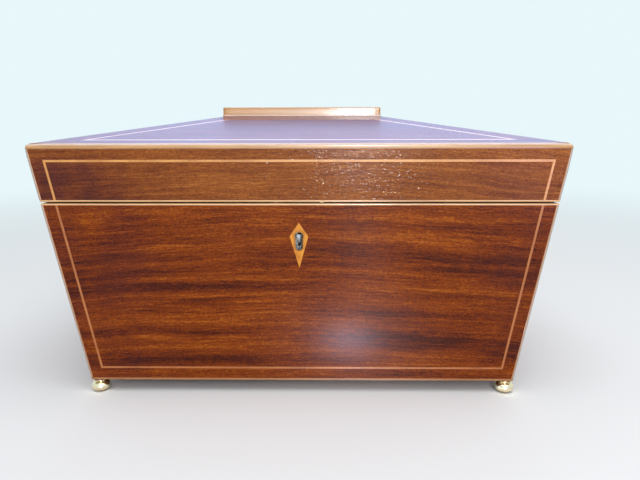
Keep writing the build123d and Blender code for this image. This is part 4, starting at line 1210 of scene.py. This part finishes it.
def roof_place(tree):
    """Place on the roof with the grain along each slope's eaves: along X in front and at the back,
    along Y where the end slopes lie lower than these."""
    x, y, z = split(tree, grain_place(tree))
    long_way = add_node(tree, "ShaderNodeCombineXYZ", {0: x, 1: z, 2: y})[0]
    end_way = add_node(tree, "ShaderNodeCombineXYZ", {0: y, 1: z, 2: x})[0]
    end_climb, long_climb = (
        calc(tree, "MULTIPLY", calc(tree, "SUBTRACT", reach, calc(tree, "ABSOLUTE", part)), rise)
        for reach, part, rise in ((caddy_half_width, x, roof_rise_x), (caddy_half_depth, y, roof_rise_y))
    )
    at_end = calc(tree, "LESS_THAN", end_climb, long_climb)
    return add_node(tree, "ShaderNodeMix", {0: at_end, 4: long_way, 5: end_way}, data_type="VECTOR")[1]


roof_leaf = figured_veneer(
    "roof_mahogany", roof_place, 1.0, (roof_figure, roof_figure), (-0.1, 0.1), shaded_roof_tones,
    tilt=0.01, seed=12.0, gain=0.9, ends=(0.0, 0.0), ripple=0.3,
)
plug(shader_of(roof_leaf), {
    "Specular IOR Level": 0.3,
    "Coat Weight": 0.8,
    "Coat Roughness": 0.50,
    "Coat IOR": 1.55,
    "Sheen Weight": 0.80,
    "Sheen Roughness": 0.6,
    "Sheen Tint": (0.56, 0.58, 0.94, 1.0),
})
dress(roof_leaf, "roof_veneer")

# Tablet. A mahogany block let into the roof, edged at the top with a strip of boxwood, with a
# thin pale bead under the strip
tablet_low, tablet_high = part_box("tablet_edging")
tablet_strip_width, tablet_wear, tablet_corner = 0.0030, (0.00004, 0.0006), 0.0012
bead_width, bead_height, bead_wear, bead_proud, bead_corner = 0.0006, 0.0009, 0.0003, 0.00012, 0.0008


def tablet_size(rise):
    """Half width and half depth of the tablet, the same at all heights."""
    return np.full(rise.shape, tablet_high.x), np.full(rise.shape, tablet_high.y)


tablet_wood = board_wood(
    "tablet_mahogany", flat_along_x, (0.150, 0.045, 0.024), (0.330, 0.118, 0.064),
    coat=0.06, coat_roughness=0.12,
)
dress(tablet_wood, "tablet")
bead_boxwood = boxwood(
    "bead_boxwood", strip_place, ((30.0, 300.0, 1.0), (80.0, 4200.0, 1.0)),
    (0.720, 0.520, 0.420), (0.600, 0.400, 0.300),
)
bead_section = worn_section(bead_width, bead_height, (bead_wear, bead_wear)) - [bead_proud, 0.0]
bead_low = tablet_low.z - bead_height
finish_piece(
    frame_strip("tablet_bead", tablet_size, bead_low, bead_section, bead_corner, 0.0, 6.0),
    bead_boxwood, "lid", "boxwood",
)
tablet_boxwood = boxwood(
    "tablet_boxwood", strip_place, strip_scales, (0.500, 0.240, 0.072), (0.370, 0.150, 0.040),
    coat=0.6, coat_roughness=0.08,
)
tablet_section = worn_section(tablet_strip_width, tablet_high.z - tablet_low.z, tablet_wear, 6)
finish_piece(
    frame_strip("tablet_strip", tablet_size, tablet_low.z, tablet_section, tablet_corner, unevenness, 5.0),
    tablet_boxwood, "lid", "boxwood", "tablet_edging",
)
